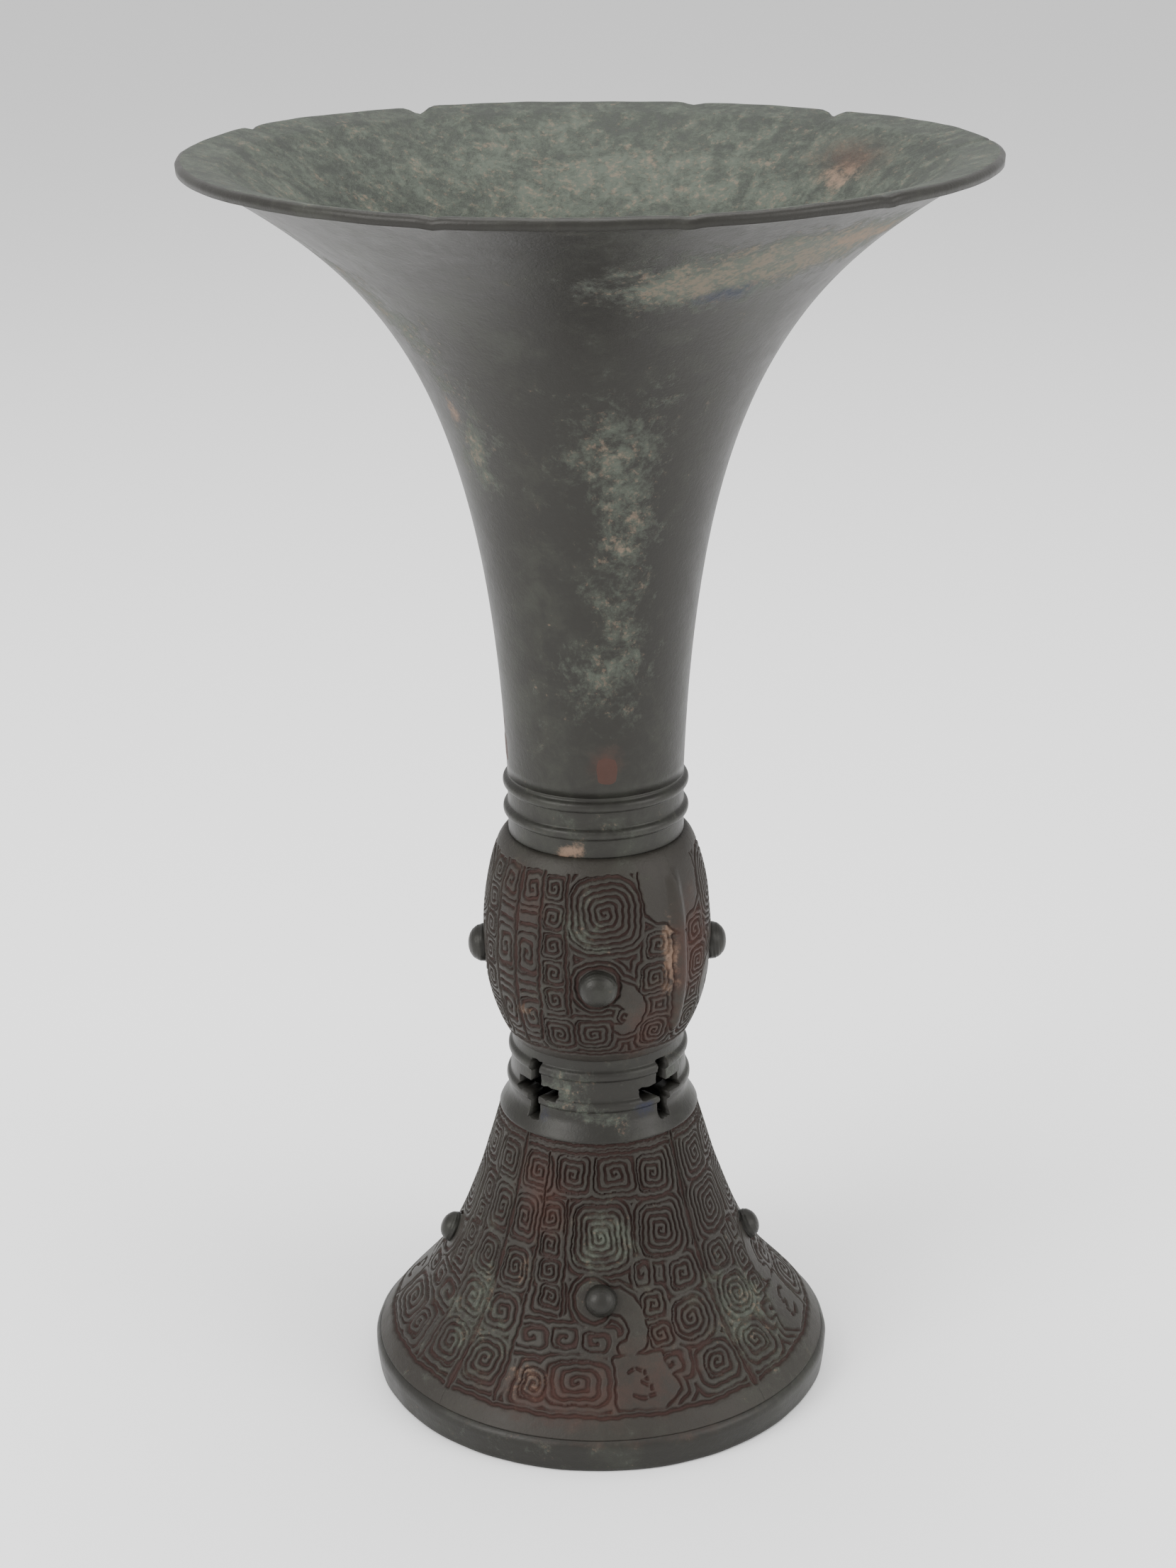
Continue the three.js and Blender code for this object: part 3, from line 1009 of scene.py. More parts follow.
class Patina:
    """Builds the bronze's shader from a finish."""

    def __init__(self, name: str, finish: Finish) -> None:
        """Starts an empty material.

        Args:
            name: Name of the material.
            finish: Its colours and surface.
        """
        self.finish = finish
        self.material = bpy.data.materials.new(name)
        self.material.use_nodes = True
        self.tree = self.material.node_tree
        self.tree.nodes.clear()
        self.place = self.node("ShaderNodeTexCoord").outputs["Object"]

    def node(
        self, kind: str, links: Union[dict[str, object], None] = None, **settings: object
    ) -> bpy.types.Node:
        """Adds a node.

        Args:
            kind: Its type.
            links: Values for its input sockets, by name.
            **settings: Its properties.

        Returns:
            The node.
        """
        node = self.tree.nodes.new(kind)
        for key, value in settings.items():
            setattr(node, key, value)
        for key, value in (links or {}).items():
            plug(self.tree, value, node.inputs[key])
        return node

    def noise(self, scale: float, detail: float = 4.0, rough: float = 0.6, warp: float = 0.0) -> Sock:
        """Noise over the surface.

        Args:
            scale: Waves per metre.
            detail: Octaves.
            rough: Strength of the finer octaves.
            warp: Distortion.

        Returns:
            A value around 0.5.
        """
        place = Sock(self.tree, self.place)
        inputs = {"Vector": place, "Scale": scale, "Detail": detail, "Roughness": rough, "Distortion": warp}
        node = self.node("ShaderNodeTexNoise", inputs)
        return Sock(self.tree, node.outputs["Fac"])

    def mask(self, mask: Mask) -> Sock:
        """A vertex attribute as a value.

        Args:
            mask: Which one.

        Returns:
            The value.
        """
        return Sock(self.tree, self.node("ShaderNodeAttribute", attribute_name=mask.value).outputs["Fac"])

    def mix(self, amount: Sock, under: Sock, over: Union[Sock, Sequence[float]]) -> Sock:
        """Lays one colour over another.

        Args:
            amount: Cover of the upper colour.
            under: Lower colour.
            over: Upper colour.

        Returns:
            The mixed colour.
        """
        node = self.tree.nodes.new("ShaderNodeMix")
        node.data_type = "RGBA"
        plug(self.tree, amount, node.inputs[0])
        plug(self.tree, under, node.inputs[6])
        plug(self.tree, over if isinstance(over, Sock) else (*over, 1.0), node.inputs[7])
        return Sock(self.tree, node.outputs[2])

    def build(self) -> bpy.types.Material:
        """Makes the shader.

        Each mask is added to a noise and cut at a level, which gives it a ragged edge. Corroded areas
        are rougher and less metallic.

        Returns:
            The material.
        """
        f = self.finish
        broad = self.noise(38.0, 5.0, 0.62, 0.3)
        mottle = self.noise(210.0, 6.0, 0.68, 0.4)
        speck = self.noise(900.0, 4.0, 0.7)
        vein = self.noise(95.0, 7.0, 0.72, 1.2)
        groove = self.mask(Mask.GROOVE)

        colour = self.metal(broad, mottle, groove)
        grit = self.noise(620.0, 5.0, 0.75, 0.3)
        crust = self.crust(broad, mottle, vein, grit)
        colour = self.mix(crust * 0.62, colour, MALACHITE)
        tan = (self.mask(Mask.TAN) * 0.5 + mottle * 0.8 + grit * 0.8).step(1.02, 1.36)
        colour = self.mix(tan * 0.7, colour, PALE_TAN)
        flecks = (speck * 0.6 + mottle * 0.5 + self.mask(Mask.GREEN) * 0.16).step(0.68, 0.80)
        colour = self.mix(flecks * 0.35, colour, PALE_TAN)
        red = (self.mask(Mask.RED) * 0.45 + vein * 0.6 + mottle * 0.5).step(0.62, 1.1)
        colour = self.mix(red * 0.6, colour, CUPRITE)
        blue = (self.mask(Mask.BLUE) * 0.6 + vein * 0.7 + grit * 0.5).step(0.95, 1.3)
        colour = self.mix(blue * 0.8, colour, AZURITE)

        dull = (crust * 0.7 + tan * 0.5 + red * 0.4 + groove * 0.4).clamped()
        rough = (dull * (DULL_ROUGHNESS - f.roughness) + f.roughness + (mottle - 0.5) * 0.22).clamped()
        height = mottle * 0.35 + speck * 0.25 + crust * 0.5 + self.noise(2600.0, 2.0, 0.6) * 0.14
        relief = {"Height": height, "Strength": 0.85, "Distance": f.grain * GRAIN_GAIN}
        bump = self.node("ShaderNodeBump", relief)
        shader = self.node(
            "ShaderNodeBsdfPrincipled",
            {
                "Base Color": colour,
                "Roughness": rough,
                "Metallic": dull.inverse() * f.metallic,
                "Normal": Sock(self.tree, bump.outputs[0]),
                "Specular IOR Level": 0.26,
            },
        )
        out = self.node("ShaderNodeOutputMaterial")
        self.tree.links.new(shader.outputs[0], out.inputs[0])
        return self.material

    def metal(self, broad: Sock, mottle: Sock, groove: Sock) -> Sock:
        """Colour of the metal before corrosion: clouded, darker red in the grooves, paler on the ridges.

        Args:
            broad: Slow noise.
            mottle: Quicker noise.
            groove: Depth in a groove.

        Returns:
            The colour.
        """
        colour = Sock(self.tree, self.node("ShaderNodeRGB").outputs[0])
        colour.value.default_value = (*self.finish.base, 1.0)
        clouded = (broad * 0.55 + mottle * 0.45).step(0.46, 0.66)
        colour = self.mix(clouded * 0.8, colour, self.finish.tint)
        colour = self.mix(groove * 0.85, colour, self.finish.recess)
        return self.mix(self.mask(Mask.WORN).clamped() * 0.55, colour, self.finish.ridge)

    def crust(self, broad: Sock, mottle: Sock, vein: Sock, grit: Sock) -> Sock:
        """Cover of the green corrosion: the mask's ragged patches, and sparse specks everywhere.

        Args:
            broad: Slow noise.
            mottle: Quicker noise.
            vein: Stretched noise.
            grit: Fine noise.

        Returns:
            The cover, from 0 to 1.
        """
        cloud = self.finish.cloud
        green = self.mask(Mask.GREEN) * 0.42 + vein * 0.7 + mottle * 0.6 + grit * 0.6 + cloud * 0.25
        green = green.step(1.10, 1.48)
        sparse = (self.noise(330.0, 5.0, 0.75, 0.5) * 0.6 + broad * 0.4).step(0.60 - cloud * 0.1, 0.74)
        return (green + sparse * (0.25 + cloud * 0.6)).clamped()


class Finishes:
    """The vessel's materials, each made once."""

    def __init__(self) -> None:
        """Builds the four patinas."""
        self.smooth = Patina("smooth_bronze_patina", SMOOTH).build()
        self.inside = Patina("bowl_patina", INSIDE).build()
        self.figured = Patina("figured_bronze_patina", FIGURED).build()
        self.spacer = Patina("spacer_patina", SPACER).build()


def dress(
    piece: bpy.types.Object, material: bpy.types.Material, nodes: Sequence[str] = ()
) -> bpy.types.Object:
    """Gives a piece its material and body, and hides the CAD nodes that it stands for.

    Args:
        piece: The piece.
        material: Its first material.
        nodes: CAD nodes that it replaces.

    Returns:
        The same piece.
    """
    piece.data.materials.append(material)
    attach(piece, "root")
    if nodes:
        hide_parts(*nodes)
    return piece


def stained_by(blots: Sequence[Blot]) -> Callable[[Array, Array, Array], dict[Mask, Array]]:
    """A function that gives a turned piece its stains.

    Args:
        blots: The blots.

    Returns:
        A function of azimuth, radius and height.
    """
    return lambda theta, radius, z: stain(blots, theta, z)


def ring_rise(z: Array, centres: Sequence[float], rise: float, half: float = 1.3) -> Array:
    """Height of rounded rings over the wall.

    A ring is a half circle of the distance from its middle, scaled to its rise and drawn in at its foot.

    Args:
        z: Heights in millimetres.
        centres: Heights of the rings.
        rise: How far they stand out.
        half: Half the height of a ring.

    Returns:
        Rises in millimetres, shaped like z.
    """
    total = np.zeros(z.shape)
    for centre in centres:
        t = np.clip(np.abs(z - centre) / half, 0.0, 1.0)
        total = total + rise * np.sqrt(np.maximum(1.0 - t**2, 0.0)) * (1.0 - t**6)
    return total


# Sub-assemblies


@dataclass(frozen=True)
class Nick:
    """A small loss in the edge of the lip.

    Attributes:
        azimuth: Middle in degrees.
        wide: Half its width in degrees.
        deep: Depth in millimetres.
    """

    azimuth: float
    wide: float
    deep: float


@dataclass
class Trumpet:
    """The flared upper wall, with a slightly warped and nicked lip.

    Attributes:
        wall: Thickness at the neck in millimetres.
        lip: Thickness at the lip in millimetres.
        columns: Steps round the axis.
        rows: Steps up the wall.
        warp: How far the lip dips, in millimetres.
        wear: Wear of the whole edge, in millimetres.
        swell: Unevenness of the wall, in millimetres.
        dip_z: Heights between which the dip grows to full.
        loss_z: Heights between which the losses grow to full.
        swell_z: Heights between which the unevenness grows to full.
        losses: The nicks.
    """

    wall: float = NECK_WALL
    lip: float = LIP_THICKNESS
    columns: int = 400
    rows: int = 110
    warp: float = 0.9
    wear: float = 0.12
    swell: float = 0.25
    dip_z: Point = (215.0, VESSEL_HEIGHT)
    loss_z: Point = (258.5, 264.5)
    swell_z: Point = (140.0, 200.0)
    losses: tuple[Nick, ...] = (
        Nick(-152, 1.6, 1.5),
        Nick(138, 1.3, 1.3),
        Nick(-20, 0.9, 0.35),
        Nick(12, 1.2, 0.4),
        Nick(41, 0.8, 0.35),
        Nick(163, 1.4, 0.5),
        Nick(-118, 1.2, 0.6),
        Nick(96, 0.9, 0.5),
    )

    def nicks(self, theta: Array) -> Array:
        """Depth of the losses along the lip.

        Each nick is a bell of the azimuth; a fine wave adds the wear of the whole edge.

        Args:
            theta: Azimuth in radians.

        Returns:
            Depths in metres, shaped like theta.
        """
        total = self.wear * MM * (1.0 + waves(theta * 9.0, theta * 0.0, 5))
        for nick in self.losses:
            bell = np.exp(-((degrees_from(theta, nick.azimuth) / nick.wide) ** 2))
            total = total + nick.deep * MM * bell
        return total

    def bent(self, theta: Array, r: Array, z: Array) -> tuple[Array, Array]:
        """Bends the lip and takes the nicks out of its edge.

        The lip dips by a wave that goes twice round, which fades out down the wall.

        Args:
            theta: Azimuths.
            r: Radii.
            z: Heights.

        Returns:
            The new radii and heights.
        """
        h = z / MM
        dip = self.warp * MM * smoothstep(*self.dip_z, h) * (0.55 + 0.45 * np.cos(2.0 * theta + 0.6))
        loss = smoothstep(*self.loss_z, h) * self.nicks(theta)
        swell = self.swell * MM * waves(theta, z, 11) * smoothstep(*self.swell_z, h)
        return r + np.minimum(swell, 0.0) - loss * 0.6, z - dip - loss

    def stains(self, theta: Array, r: Array, z: Array) -> dict[Mask, Array]:
        """Stains of the outside and of the bowl, told apart by the wall's radius.

        Args:
            theta: Azimuths.
            r: Radii.
            z: Heights.

        Returns:
            Values per vertex.
        """
        outside = smoothstep(-0.0012, -0.0006, r - TRUMPET_CURVE.radius(z))
        out = stain(TRUMPET_BLOTS, theta, z)
        bowl = stain(BOWL_BLOTS, theta, z)
        zero = np.zeros(r.shape)
        return {m: out.get(m, zero) * outside + bowl.get(m, zero) * (1.0 - outside) for m in Mask}

    def build(self, finishes: Finishes) -> None:
        """Builds the wall.

        Args:
            finishes: The materials.
        """
        share = np.linspace(0.0, 1.0, self.rows)
        outer = TRUMPET_CURVE.at(share)
        thick = (self.wall + (self.lip - self.wall) * share[:, None]) * MM
        inner = outer - thick * normals(outer)
        inner[0] = outer[0] - [self.wall * MM, 0.0]
        outer = outer[outer[:, 1] < (VESSEL_HEIGHT - 2.6) * MM]
        inner = inner[inner[:, 1] < (VESSEL_HEIGHT - 1.0) * MM]
        lip_drops = np.array([(0.1, 2.1), (0.0, 0.8), (0.4, 0.25), (1.1, 0.0), (2.1, 0.1)])
        lip = (np.array([MOUTH_R, VESSEL_HEIGHT]) - lip_drops) * MM
        outline = np.concatenate([outer, lip, inner[::-1]])
        piece = revolve("trumpet", outline, self.columns, self.bent, self.stains)
        dress(piece, finishes.smooth, ["mouth_trumpet"])
        piece.data.materials.append(finishes.inside)
        rows_outside = len(outer) + 3
        index = np.zeros(len(piece.data.polygons), dtype=np.int32)
        index[rows_outside * self.columns:] = 1
        piece.data.polygons.foreach_set("material_index", index)


@dataclass
class NeckCollar:
    """The short tube with two raised rings.

    Attributes:
        radius: Radius of the tube in millimetres.
        wall: Its thickness.
        rings: Heights of the rings.
        rise: How far they stand out.
        columns: Steps round the axis.
        rows: Steps up the tube.
    """

    radius: float = NECK_R
    wall: float = NECK_WALL
    rings: tuple[float, ...] = (130.3, 136.3)
    rise: float = 1.0
    columns: int = 240
    rows: int = 66

    def build(self, finishes: Finishes) -> None:
        """Builds the tube.

        Args:
            finishes: The materials.
        """
        z = np.linspace(KNOP_TOP_Z, NECK_TOP_Z, self.rows)
        outer = np.stack([self.radius + ring_rise(z, self.rings, self.rise), z], axis=1)
        bore = self.radius - self.wall
        outline = np.concatenate([outer, [(bore, NECK_TOP_Z), (bore, KNOP_TOP_Z)]]) * MM
        piece = revolve("neck_rings", outline, self.columns, None, stained_by(NECK_BLOTS))
        dress(piece, finishes.smooth, ["neck_collar"])


@dataclass
class PiercedCollar:
    """The ringed tube under the knop, with a cross cut through it at each diagonal.

    Attributes:
        wall: Thickness in millimetres.
        ledge: How far the top face reaches in, under the floor of the bowl.
        rings: Heights of the rings.
        rise: How far they stand out.
        flare_top: Height at which the foot's flare has died out.
        cross_z: Height of the crosses' middle.
        cross_high: Height of a cross.
        cross_wide: Width of a cross.
        half_upright: Half the width of its upright.
        half_arm: Half the height of its arms.
        columns: Steps round the axis.
    """

    wall: float = COLLAR_WALL
    ledge: float = 2.0
    rings: tuple[float, float] = (69.1, 76.0)
    rise: float = 0.8
    flare_top: float = 66.6
    cross_z: float = 71.0
    cross_high: float = 14.0
    cross_wide: float = 12.4
    half_upright: float = 1.6
    half_arm: float = 1.4
    columns: int = 300

    def cross(self, turn: float, seed: int) -> bpy.types.Object:
        """A rough cross-shaped bar that reaches out from near the axis.

        The outline's points are shifted a little at random, because the real openings were left by a
        broken clay core.

        Args:
            turn: Azimuth in radians.
            seed: Seed of the random shifts.

        Returns:
            The linked cutter.
        """
        rng = np.random.default_rng(seed)
        w, h, a, u = self.cross_wide / 2, self.cross_high / 2, self.half_arm, self.half_upright
        half_cross = np.array([(-u, -h), (u, -h), (u, -a), (w, -a), (w, a), (u, a)])
        corners = np.concatenate([half_cross, -half_cross])
        steps = np.linspace(0.0, 1.0, 5, endpoint=False)[None, :, None]
        path = corners[:, None] * (1.0 - steps) + np.roll(corners, -1, axis=0)[:, None] * steps
        path = path.reshape(-1, 2)
        path = (path * 0.94 + rng.uniform(-0.2, 0.2, path.shape)) * MM
        side = np.array([math.cos(turn), math.sin(turn), 0.0])
        out = np.array([math.sin(turn), -math.cos(turn), 0.0])
        up = np.array([0.0, 0.0, 1.0])
        near = out * 0.010 + side * path[:, :1] + up * (path[:, 1:] + self.cross_z * MM)
        verts = np.concatenate([near, near + out * 0.018])
        count = len(path)
        j = np.arange(count)
        k = (j + 1) % count
        quads = np.stack([j, k, count + k, count + j], axis=-1).tolist()
        faces = quads + [list(range(count))[::-1], list(range(count, 2 * count))]
        return link_mesh("cross_cutter", verts, faces, {})

    def outline(self) -> Array:
        """The closed outline of the tube.

        The wall narrows evenly from the lower ring to the top; the foot's flare dies out above the joint.

        Returns:
            Points [radius, height] in metres.
        """
        z = np.linspace(SKIRT_TOP_Z, COLLAR_TOP_Z, 90)
        climb = np.clip((z - self.rings[0]) / (COLLAR_TOP_Z - self.rings[0]), -0.2, 1.0)
        wall_r = COLLAR_FOOT_R + (COLLAR_TOP_R - COLLAR_FOOT_R) * climb
        dying = 1.0 - smoothstep(SKIRT_TOP_Z - 0.8, self.flare_top, z)
        flare = (SKIRT_TOP_R - COLLAR_FOOT_R) * dying / dying[0]
        outer = np.stack([wall_r + flare + ring_rise(z, self.rings, self.rise), z], axis=1)
        outer[0, 0] = SKIRT_TOP_R
        bore = COLLAR_TOP_R - self.wall
        inner = [
            (bore - self.ledge, COLLAR_TOP_Z),
            (bore, COLLAR_TOP_Z - self.ledge),
            (COLLAR_FOOT_R - self.wall, self.cross_z - self.cross_high / 2),
            (SKIRT_TOP_R - FOOT_WALL, SKIRT_TOP_Z),
        ]
        return dense([*map(tuple, outer), *inner], 1.2)

    def build(self, finishes: Finishes) -> None:
        """Builds the tube and cuts the crosses.

        Args:
            finishes: The materials.
        """
        piece = revolve("pierced_collar", self.outline(), self.columns, None, stained_by(COLLAR_BLOTS))
        for index in range(4):
            cutter = self.cross(math.radians(45 + 90 * index), 40 + index)
            modifier = piece.modifiers.new("cut", "BOOLEAN")
            modifier.operation = "DIFFERENCE"
            modifier.solver = "EXACT"
            modifier.object = cutter
            evaluated = piece.evaluated_get(bpy.context.evaluated_depsgraph_get())
            cut = bpy.data.meshes.new_from_object(evaluated)
            piece.modifiers.clear()
            piece.data = cut
            bpy.data.objects.remove(cutter)
        piece.name = "pierced_collar_wall"
        dress(piece, finishes.smooth, ["pierced_collar"])


@dataclass
class Knop:
    """The bulging middle: four quarters of figured wall and two nose ridges.

    Attributes:
        wall: Thickness in millimetres.
        columns: Vertices over a quarter.
        rows: Vertices up the wall.
        arris: How far a nose ridge stands out, in millimetres.
        arris_half: Half the width of a nose ridge, in degrees.
        arris_low: Heights between which its lower end rises out of the wall.
        arris_high: Heights between which its upper end sinks back.
        rough: Unevenness of the wall, in millimetres.
    """

    wall: float = KNOP_WALL
    columns: int = 250
    rows: int = 280
    arris: float = 1.3
    arris_half: float = 6.5
    arris_low: Point = (83.5, 88.0)
    arris_high: Point = (118.5, 122.5)
    rough: float = 0.06

    def build(self, finishes: Finishes) -> None:
        """Builds the quarters. Every second one is the mirror image of the first.

        Args:
            finishes: The materials.
        """
        z = np.linspace(KNOP.low_z, KNOP.high_z, self.rows)[:, None] * MM
        share = np.linspace(0.0, 1.0, self.columns)[None, :]
        share, z = np.broadcast_arrays(share, z)
        depth = KNOP_PATTERN.grooves(share * KNOP_QUARTER, z / MM)
        inner_z = np.linspace(KNOP.low_z, KNOP.high_z, 14)[:, None] * MM
        fade = smoothstep(*self.arris_low, z / MM) * (1.0 - smoothstep(*self.arris_high, z / MM))
        for index in range(4):
            start = math.radians(SEAM_AZIMUTH) + QUARTER * index
            groove = depth[:, ::-1] if index % 2 == 1 else depth
            theta = start + share * QUARTER
            near_nose = np.abs((theta - math.pi / 4 + math.pi / 2) % math.pi - math.pi / 2)
            nose = 1.0 - smoothstep(0.0, math.radians(self.arris_half), near_nose)
            rough = self.rough * waves(theta * 5.0, z * 6.0, 21)
            radius = KNOP.radius(z) - (groove * KNOP_PATTERN.depth - self.arris * nose * fade - rough) * MM
            outer = cylinder_points(radius, theta, z)
            inner = cylinder_points(KNOP.radius(inner_z) - self.wall * MM, theta[:1], inner_z)
            masks = stain(KNOP_BLOTS, theta, z)
            masks[Mask.GROOVE] = groove
            masks[Mask.WORN] = np.maximum(masks.get(Mask.WORN, 0.0), (1.0 - groove) * RIDGE_WEAR)
            piece = slab(f"knop_quarter_{index + 1}", outer, inner, masks)
            nodes = ["knop_shell", "nose_ridge_1", "nose_ridge_2"] if index == 0 else []
            dress(piece, finishes.figured, nodes)


@dataclass
class Foot:
    """The splayed foot: four quarters of figured wall over a plain band.

    Attributes:
        wall: Thickness in millimetres.
        columns: Vertices over a quarter.
        rows: Vertices up the wall.
        rough: Unevenness of the wall, in millimetres.
        fade_in: Heights between which the pattern grows to its full depth.
        band: Corners [radius, height] of the band's outline.
        band_columns: Steps of the band round the axis.
        edge_wear: Wear of the band's outer edge, in millimetres.
        edge_r: Radii between which that wear grows to full.
    """

    wall: float = FOOT_WALL
    columns: int = 330
    rows: int = 270
    rough: float = 0.06
    fade_in: Point = (7.8, 10.0)
    band: tuple[Point, ...] = (
        (46.2, 0.15), (46.6, 0.0), (49.1, 0.0), (49.6, 0.5), (50.0, 3.4), (50.15, 5.6), (49.95, 6.5),
        (49.4, 7.15), (48.9, BAND_TOP_Z), (46.3, BAND_TOP_Z),
    )
    band_columns: int = 400
    edge_wear: float = 0.14
    edge_r: Point = (47.5, 49.5)

    def build(self, finishes: Finishes) -> None:
        """Builds the quarters and the band. Every second quarter is the mirror image of the first.

        Args:
            finishes: The materials.
        """
        wall = self.even_points()
        out = normals(wall)
        share = np.linspace(0.0, 1.0, self.columns)[None, :]
        share, r, z = np.broadcast_arrays(share, wall[:, :1], wall[:, 1:])
        depth = FOOT_PATTERN.grooves(share * FOOT_QUARTER, z / MM)
        inner = (wall - out * self.wall * MM)[np.linspace(0, self.rows - 1, 16).astype(int)]
        inner[0, 1], inner[-1, 1] = wall[0, 1], wall[-1, 1]
        inner[:, 1] = np.maximum(inner[:, 1], wall[0, 1])
        for index in range(4):
            groove = depth[:, ::-1] if index % 2 == 1 else depth
            theta = math.radians(SEAM_AZIMUTH) + QUARTER * index + share * QUARTER
            rough = self.rough * waves(theta * 7.0, z * 6.0, 31)
            sink = (groove * FOOT_PATTERN.depth - rough) * MM * smoothstep(*self.fade_in, z / MM)
            outer = cylinder_points(r - out[:, :1] * sink, theta, z - out[:, 1:] * sink)
            back = cylinder_points(inner[:, :1], theta[:1], inner[:, 1:])
            masks = stain(FOOT_BLOTS, theta, z)
            masks[Mask.GROOVE] = groove
            masks[Mask.WORN] = (1.0 - groove) * RIDGE_WEAR
            piece = slab(f"foot_quarter_{index + 1}", outer, back, masks)
            dress(piece, finishes.figured, ["foot_skirt"] if index == 0 else [])
        outline = dense(self.band, 0.7)
        stains = stained_by(BAND_BLOTS)
        ring = revolve("base_band_ring", outline, self.band_columns, self.worn_edge, stains)
        dress(ring, finishes.smooth, ["base_band"])

    def even_points(self) -> Array:
        """Points of the wall's outline at even steps along it.

        Returns:
            Points [radius, height] in metres, shape (rows, 2).
        """
        points = SKIRT_CURVE.at(np.linspace(0.0, 1.0, 800))
        runs = np.linalg.norm(np.diff(points, axis=0), axis=1)
        along = np.concatenate([[0.0], np.cumsum(runs)])
        even = np.linspace(0.0, along[-1], self.rows)
        return np.stack([np.interp(even, along, points[:, axis]) for axis in (0, 1)], axis=1)

    def worn_edge(self, theta: Array, r: Array, z: Array) -> tuple[Array, Array]:
        """Wears the outer edge of the band by a fraction of a millimetre.

        Args:
            theta: Azimuths.
            r: Radii.
            z: Heights.

        Returns:
            The new radii and heights.
        """
        wear = self.edge_wear * MM * (1.0 + waves(theta * 6.0, z, 51))
        return r - wear * smoothstep(*self.edge_r, r / MM), z


@dataclass(frozen=True)
class Eye:
    """The size of one kind of round eye boss, in millimetres.

    Attributes:
        radius: Radius of the boss.
        rise: How far it stands out.
    """

    radius: float
    rise: float


@dataclass
class Bosses:
    """The round eyes of the masks on the knop and on the foot.

    Attributes:
        knop: Size of those on the knop.
        foot: Size of those on the foot.
        sunk: Depth of the foot of each that is sunk in the wall.
        rows: Steps up a dome.
        columns: Steps round a dome.
        cad_numbers: Number of the CAD node at each quarter turn.
    """

    knop: Eye = Eye(4.0, 3.3)
    foot: Eye = Eye(3.4, 3.0)
    sunk: float = 1.4
    rows: int = 26
    columns: int = 64
    cad_numbers: tuple[int, ...] = (3, 4, 1, 2)

    def boss(self, name: str, eye: Eye, seat: float, z: float, tilt: float, turn: float) -> bpy.types.Object:
        """A dome with a short sunk foot, standing out of the wall.

        The dome's height over its foot is the rise times the sine of the angle up a quarter circle, and
        its radius falls with a power of the cosine.

        Args:
            name: Name of the object.
            eye: Its size.
            seat: Distance of its foot from the axis in millimetres.
            z: Height of its middle.
            tilt: How far it leans up, in radians.
            turn: Azimuth in radians.

        Returns:
            The linked piece.
        """
        angle = np.linspace(0.0, math.pi / 2, self.rows)
        tip_radius = 0.02
        dome = eye.radius * np.cos(angle[:-1]) ** 0.9
        rr = np.concatenate([[eye.radius * 0.96], dome, [tip_radius]])[:, None]
        hh = np.concatenate([[-self.sunk], eye.rise * np.sin(angle)])[:, None]
        theta = np.arange(self.columns)[None, :] * (TURN / self.columns)
        dent = 1.0 + 0.025 * waves(theta, hh * 3.0, 61)
        x = rr * np.cos(theta) * dent
        y = rr * np.sin(theta) * dent
        local = np.stack([x, -np.broadcast_to(hh, x.shape), y], axis=-1).reshape(-1, 3)
        lean = np.array(Matrix.Rotation(-tilt, 3, "X"))
        round_axis = np.array(Matrix.Rotation(turn, 3, "Z"))
        verts = (local @ lean.T + np.array([0.0, -seat, z])) @ round_axis.T * MM
        faces = grid_faces(len(rr), self.columns, wrap=True).tolist()
        faces.append(list(range(self.columns))[::-1])
        faces.append([(len(rr) - 1) * self.columns + j for j in range(self.columns)])
        return link_mesh(name, verts, faces, {})

    def build(self, finishes: Finishes) -> None:
        """Builds the eight bosses.

        Args:
            finishes: The materials.
        """
        around = np.array([FOOT_EYE_Z - self.foot.radius, FOOT_EYE_Z + self.foot.radius]) * MM
        wide, narrow = SKIRT_CURVE.radius(around)
        tilt = math.atan((wide - narrow) / (around[1] - around[0]))
        knop_seat = float(KNOP.radius(np.array(KNOP_EYE_Z * MM))) / MM
        foot_seat = float(SKIRT_CURVE.radius(np.array(FOOT_EYE_Z * MM))) / MM
        for index, number in enumerate(self.cad_numbers):
            turn = QUARTER * index
            piece = self.boss(f"knop_eye_{index + 1}", self.knop, knop_seat, KNOP_EYE_Z, 0.0, turn)
            dress(piece, finishes.smooth, [f"knop_eye_boss_{number}"])
            piece = self.boss(f"foot_eye_{index + 1}", self.foot, foot_seat, FOOT_EYE_Z, tilt, turn)
            dress(piece, finishes.smooth, [f"foot_eye_boss_{number}"])


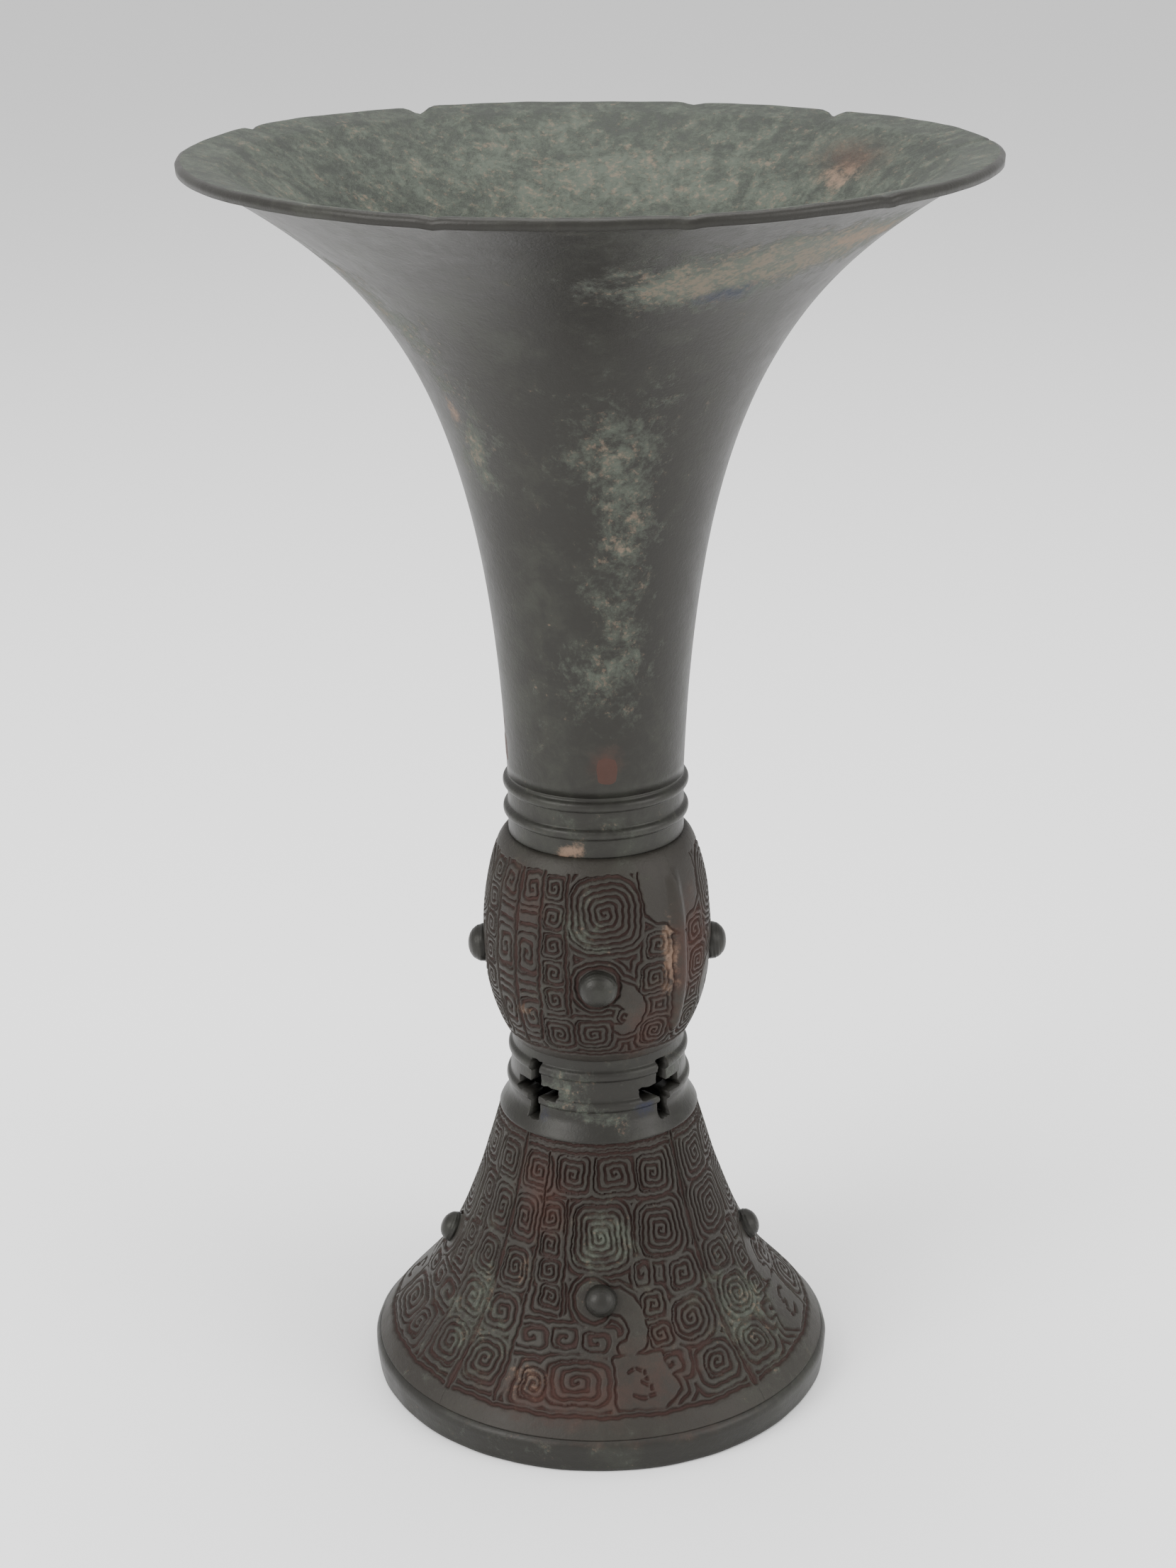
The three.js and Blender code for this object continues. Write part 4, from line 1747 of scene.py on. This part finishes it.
@dataclass
class Spacers:
    """The four spacer plates that stayed in the neck wall, flush with it.

    Attributes:
        wide: Width of a plate in millimetres.
        high: Its height.
        z: Height of its middle.
        start: Azimuth of the first in degrees.
        proud: How far the middle stands out of the wall.
        rows: Vertices up a plate.
        columns: Vertices across a plate.
    """

    wide: float = 4.6
    high: float = 6.2
    z: float = 144.2
    start: float = 7.0
    proud: float = 0.07
    rows: int = 30
    columns: int = 24

    def build(self, finishes: Finishes) -> None:
        """Builds the plates.

        Each is a thin patch: a square grid drawn in at its corners, with a lumpy edge that dips into
        the wall.

        Args:
            finishes: The materials.
        """
        v = np.linspace(-1.0, 1.0, self.rows)[:, None]
        u = np.linspace(-1.0, 1.0, self.columns)[None, :]
        edge = np.maximum(np.abs(u), np.abs(v))
        over = self.proud * (1.0 - smoothstep(0.55, 1.0, edge)) - 0.12 * smoothstep(0.9, 1.0, edge)
        rounded = 1.0 - 0.24 * (u * u * v * v)
        for index in range(4):
            turn = math.radians(self.start) + QUARTER * index
            lump = rounded * (1.0 + 0.10 * waves(np.arctan2(v, u), v * 0.0, 71 + index))
            x = u * self.wide / 2 * lump
            z = (self.z + v * self.high / 2 * lump) * MM
            radius = TRUMPET_CURVE.radius(z) + over * MM
            outer = cylinder_points(radius, turn + x * MM / radius, z)
            inner = outer[[0, self.rows // 2, self.rows - 1]] * np.array([0.93, 0.93, 1.0])
            piece = slab(f"spacer_plate_{index + 1}", outer, inner, {Mask.RED: np.full(edge.shape, 0.6)})
            dress(piece, finishes.spacer, [f"core_spacer_{index + 1}"])


@dataclass
class BowlFloor:
    """The disc that closes the bowl.

    Attributes:
        radius: Radius in millimetres.
        thick: Thickness at the edge.
        dish: Thickness in the middle, as a share of that.
        columns: Steps round the axis.
    """

    radius: float = 15.3
    thick: float = 2.6
    dish: float = 0.8
    columns: int = 96

    def build(self, finishes: Finishes) -> None:
        """Builds the disc, whose top dips as the square of the radius.

        Args:
            finishes: The materials.
        """
        share = np.linspace(1.0, 0.0, 20)
        rise = self.dish + (1.0 - self.dish) * share**2
        top = np.stack([self.radius * share, COLLAR_TOP_Z + self.thick * rise], axis=1)
        pinhole = 0.02
        top[-1, 0] = pinhole
        under = [(pinhole, COLLAR_TOP_Z), (self.radius, COLLAR_TOP_Z)]
        piece = revolve("bowl_floor_disc", np.concatenate([under, top]) * MM, self.columns)
        dress(piece, finishes.inside, ["bowl_floor"])


# Studio


@dataclass(frozen=True)
class SoftLight:
    """A square soft light that faces a point on the vessel's axis.

    Attributes:
        name: Its name.
        place: Its position in metres.
        aim: Height of the point that it faces.
        size: Side in metres.
        power: Power in watts.
    """

    name: str
    place: tuple[float, float, float]
    aim: float
    size: float
    power: float

    def build(self) -> None:
        """Adds the light."""
        lamp = bpy.data.lights.new(self.name, "AREA")
        lamp.size = self.size
        lamp.energy = self.power
        light = bpy.data.objects.new(self.name, lamp)
        bpy.context.collection.objects.link(light)
        away = Vector(self.place) - Vector((0.0, 0.0, self.aim))
        light.location = self.place
        light.rotation_euler = away.to_track_quat("Z", "Y").to_euler()


@dataclass
class Studio:
    """Floor, lights and camera.

    Attributes:
        lens: Focal length in millimetres for a sensor that spans the picture's long side.
        sensor: Length of that side of the sensor in millimetres.
        place: Camera position in metres.
        pitch: How far the camera looks down, in degrees.
        roll: Turn about the view direction, in degrees.
        floor_half: Half the side of the floor in metres.
        lights: The soft lights.
    """

    lens: float = 65.0
    sensor: float = 36.0
    place: tuple[float, float, float] = (-0.0016, -0.551, 0.3408)
    pitch: float = 20.52
    roll: float = -0.6
    floor_half: float = 6.0
    lights: tuple[SoftLight, ...] = (
        SoftLight("key_left", (-0.9, -0.7, 0.75), 0.14, 0.7, 17.0),
        SoftLight("fill_right", (1.0, -0.5, 0.6), 0.14, 0.7, 10.0),
        SoftLight("top", (0.0, 0.1, 1.2), 0.1, 0.9, 14.0),
    )

    def build(self) -> None:
        """Builds the stage, the lights and the camera."""
        self.build_floor()
        self.build_world()
        for light in self.lights:
            light.build()
        self.build_camera()

    def build_floor(self) -> None:
        """Lays the pale paper that the vessel stands on."""
        half = self.floor_half
        mesh = bpy.data.meshes.new("floor")
        corners = [(-half, -half, 0), (half, -half, 0), (half, half, 0), (-half, half, 0)]
        mesh.from_pydata(corners, [], [(0, 1, 2, 3)])
        floor = bpy.data.objects.new("floor", mesh)
        bpy.context.collection.objects.link(floor)
        paper = bpy.data.materials.new("pale_paper")
        paper.use_nodes = True
        shader = paper.node_tree.nodes["Principled BSDF"]
        shader.inputs["Base Color"].default_value = (0.92, 0.92, 0.92, 1.0)
        shader.inputs["Roughness"].default_value = 0.9
        mesh.materials.append(paper)

    def build_world(self) -> None:
        """Makes the even white surroundings."""
        world = bpy.data.worlds.new("studio")
        world.use_nodes = True
        background = world.node_tree.nodes["Background"]
        background.inputs["Color"].default_value = (1.0, 1.0, 1.0, 1.0)
        background.inputs["Strength"].default_value = 1.0
        bpy.context.scene.world = world

    def build_camera(self) -> None:
        """Places the camera, pitched down and rolled about its view direction."""
        lens = bpy.data.cameras.new("camera")
        lens.sensor_width = self.sensor
        lens.lens = self.lens
        camera = bpy.data.objects.new("camera", lens)
        bpy.context.collection.objects.link(camera)
        tilt = Matrix.Rotation(math.radians(90.0 - self.pitch), 4, "X")
        roll = Matrix.Rotation(math.radians(self.roll), 4, "Z")
        camera.matrix_world = Matrix.Translation(self.place) @ tilt @ roll
        bpy.context.scene.camera = camera


def main() -> None:
    """Builds the vessel from the top down, then the studio."""
    logging.basicConfig(level=logging.INFO, format="%(name)s: %(message)s")
    finishes = Finishes()
    parts = (Trumpet(), NeckCollar(), Knop(), BowlFloor(), PiercedCollar(), Foot(), Bosses(), Spacers())
    for part in parts:
        part.build(finishes)
        LOG.info("built %s", type(part).__name__)
    Studio().build()


if __name__ == "__main__":
    main()
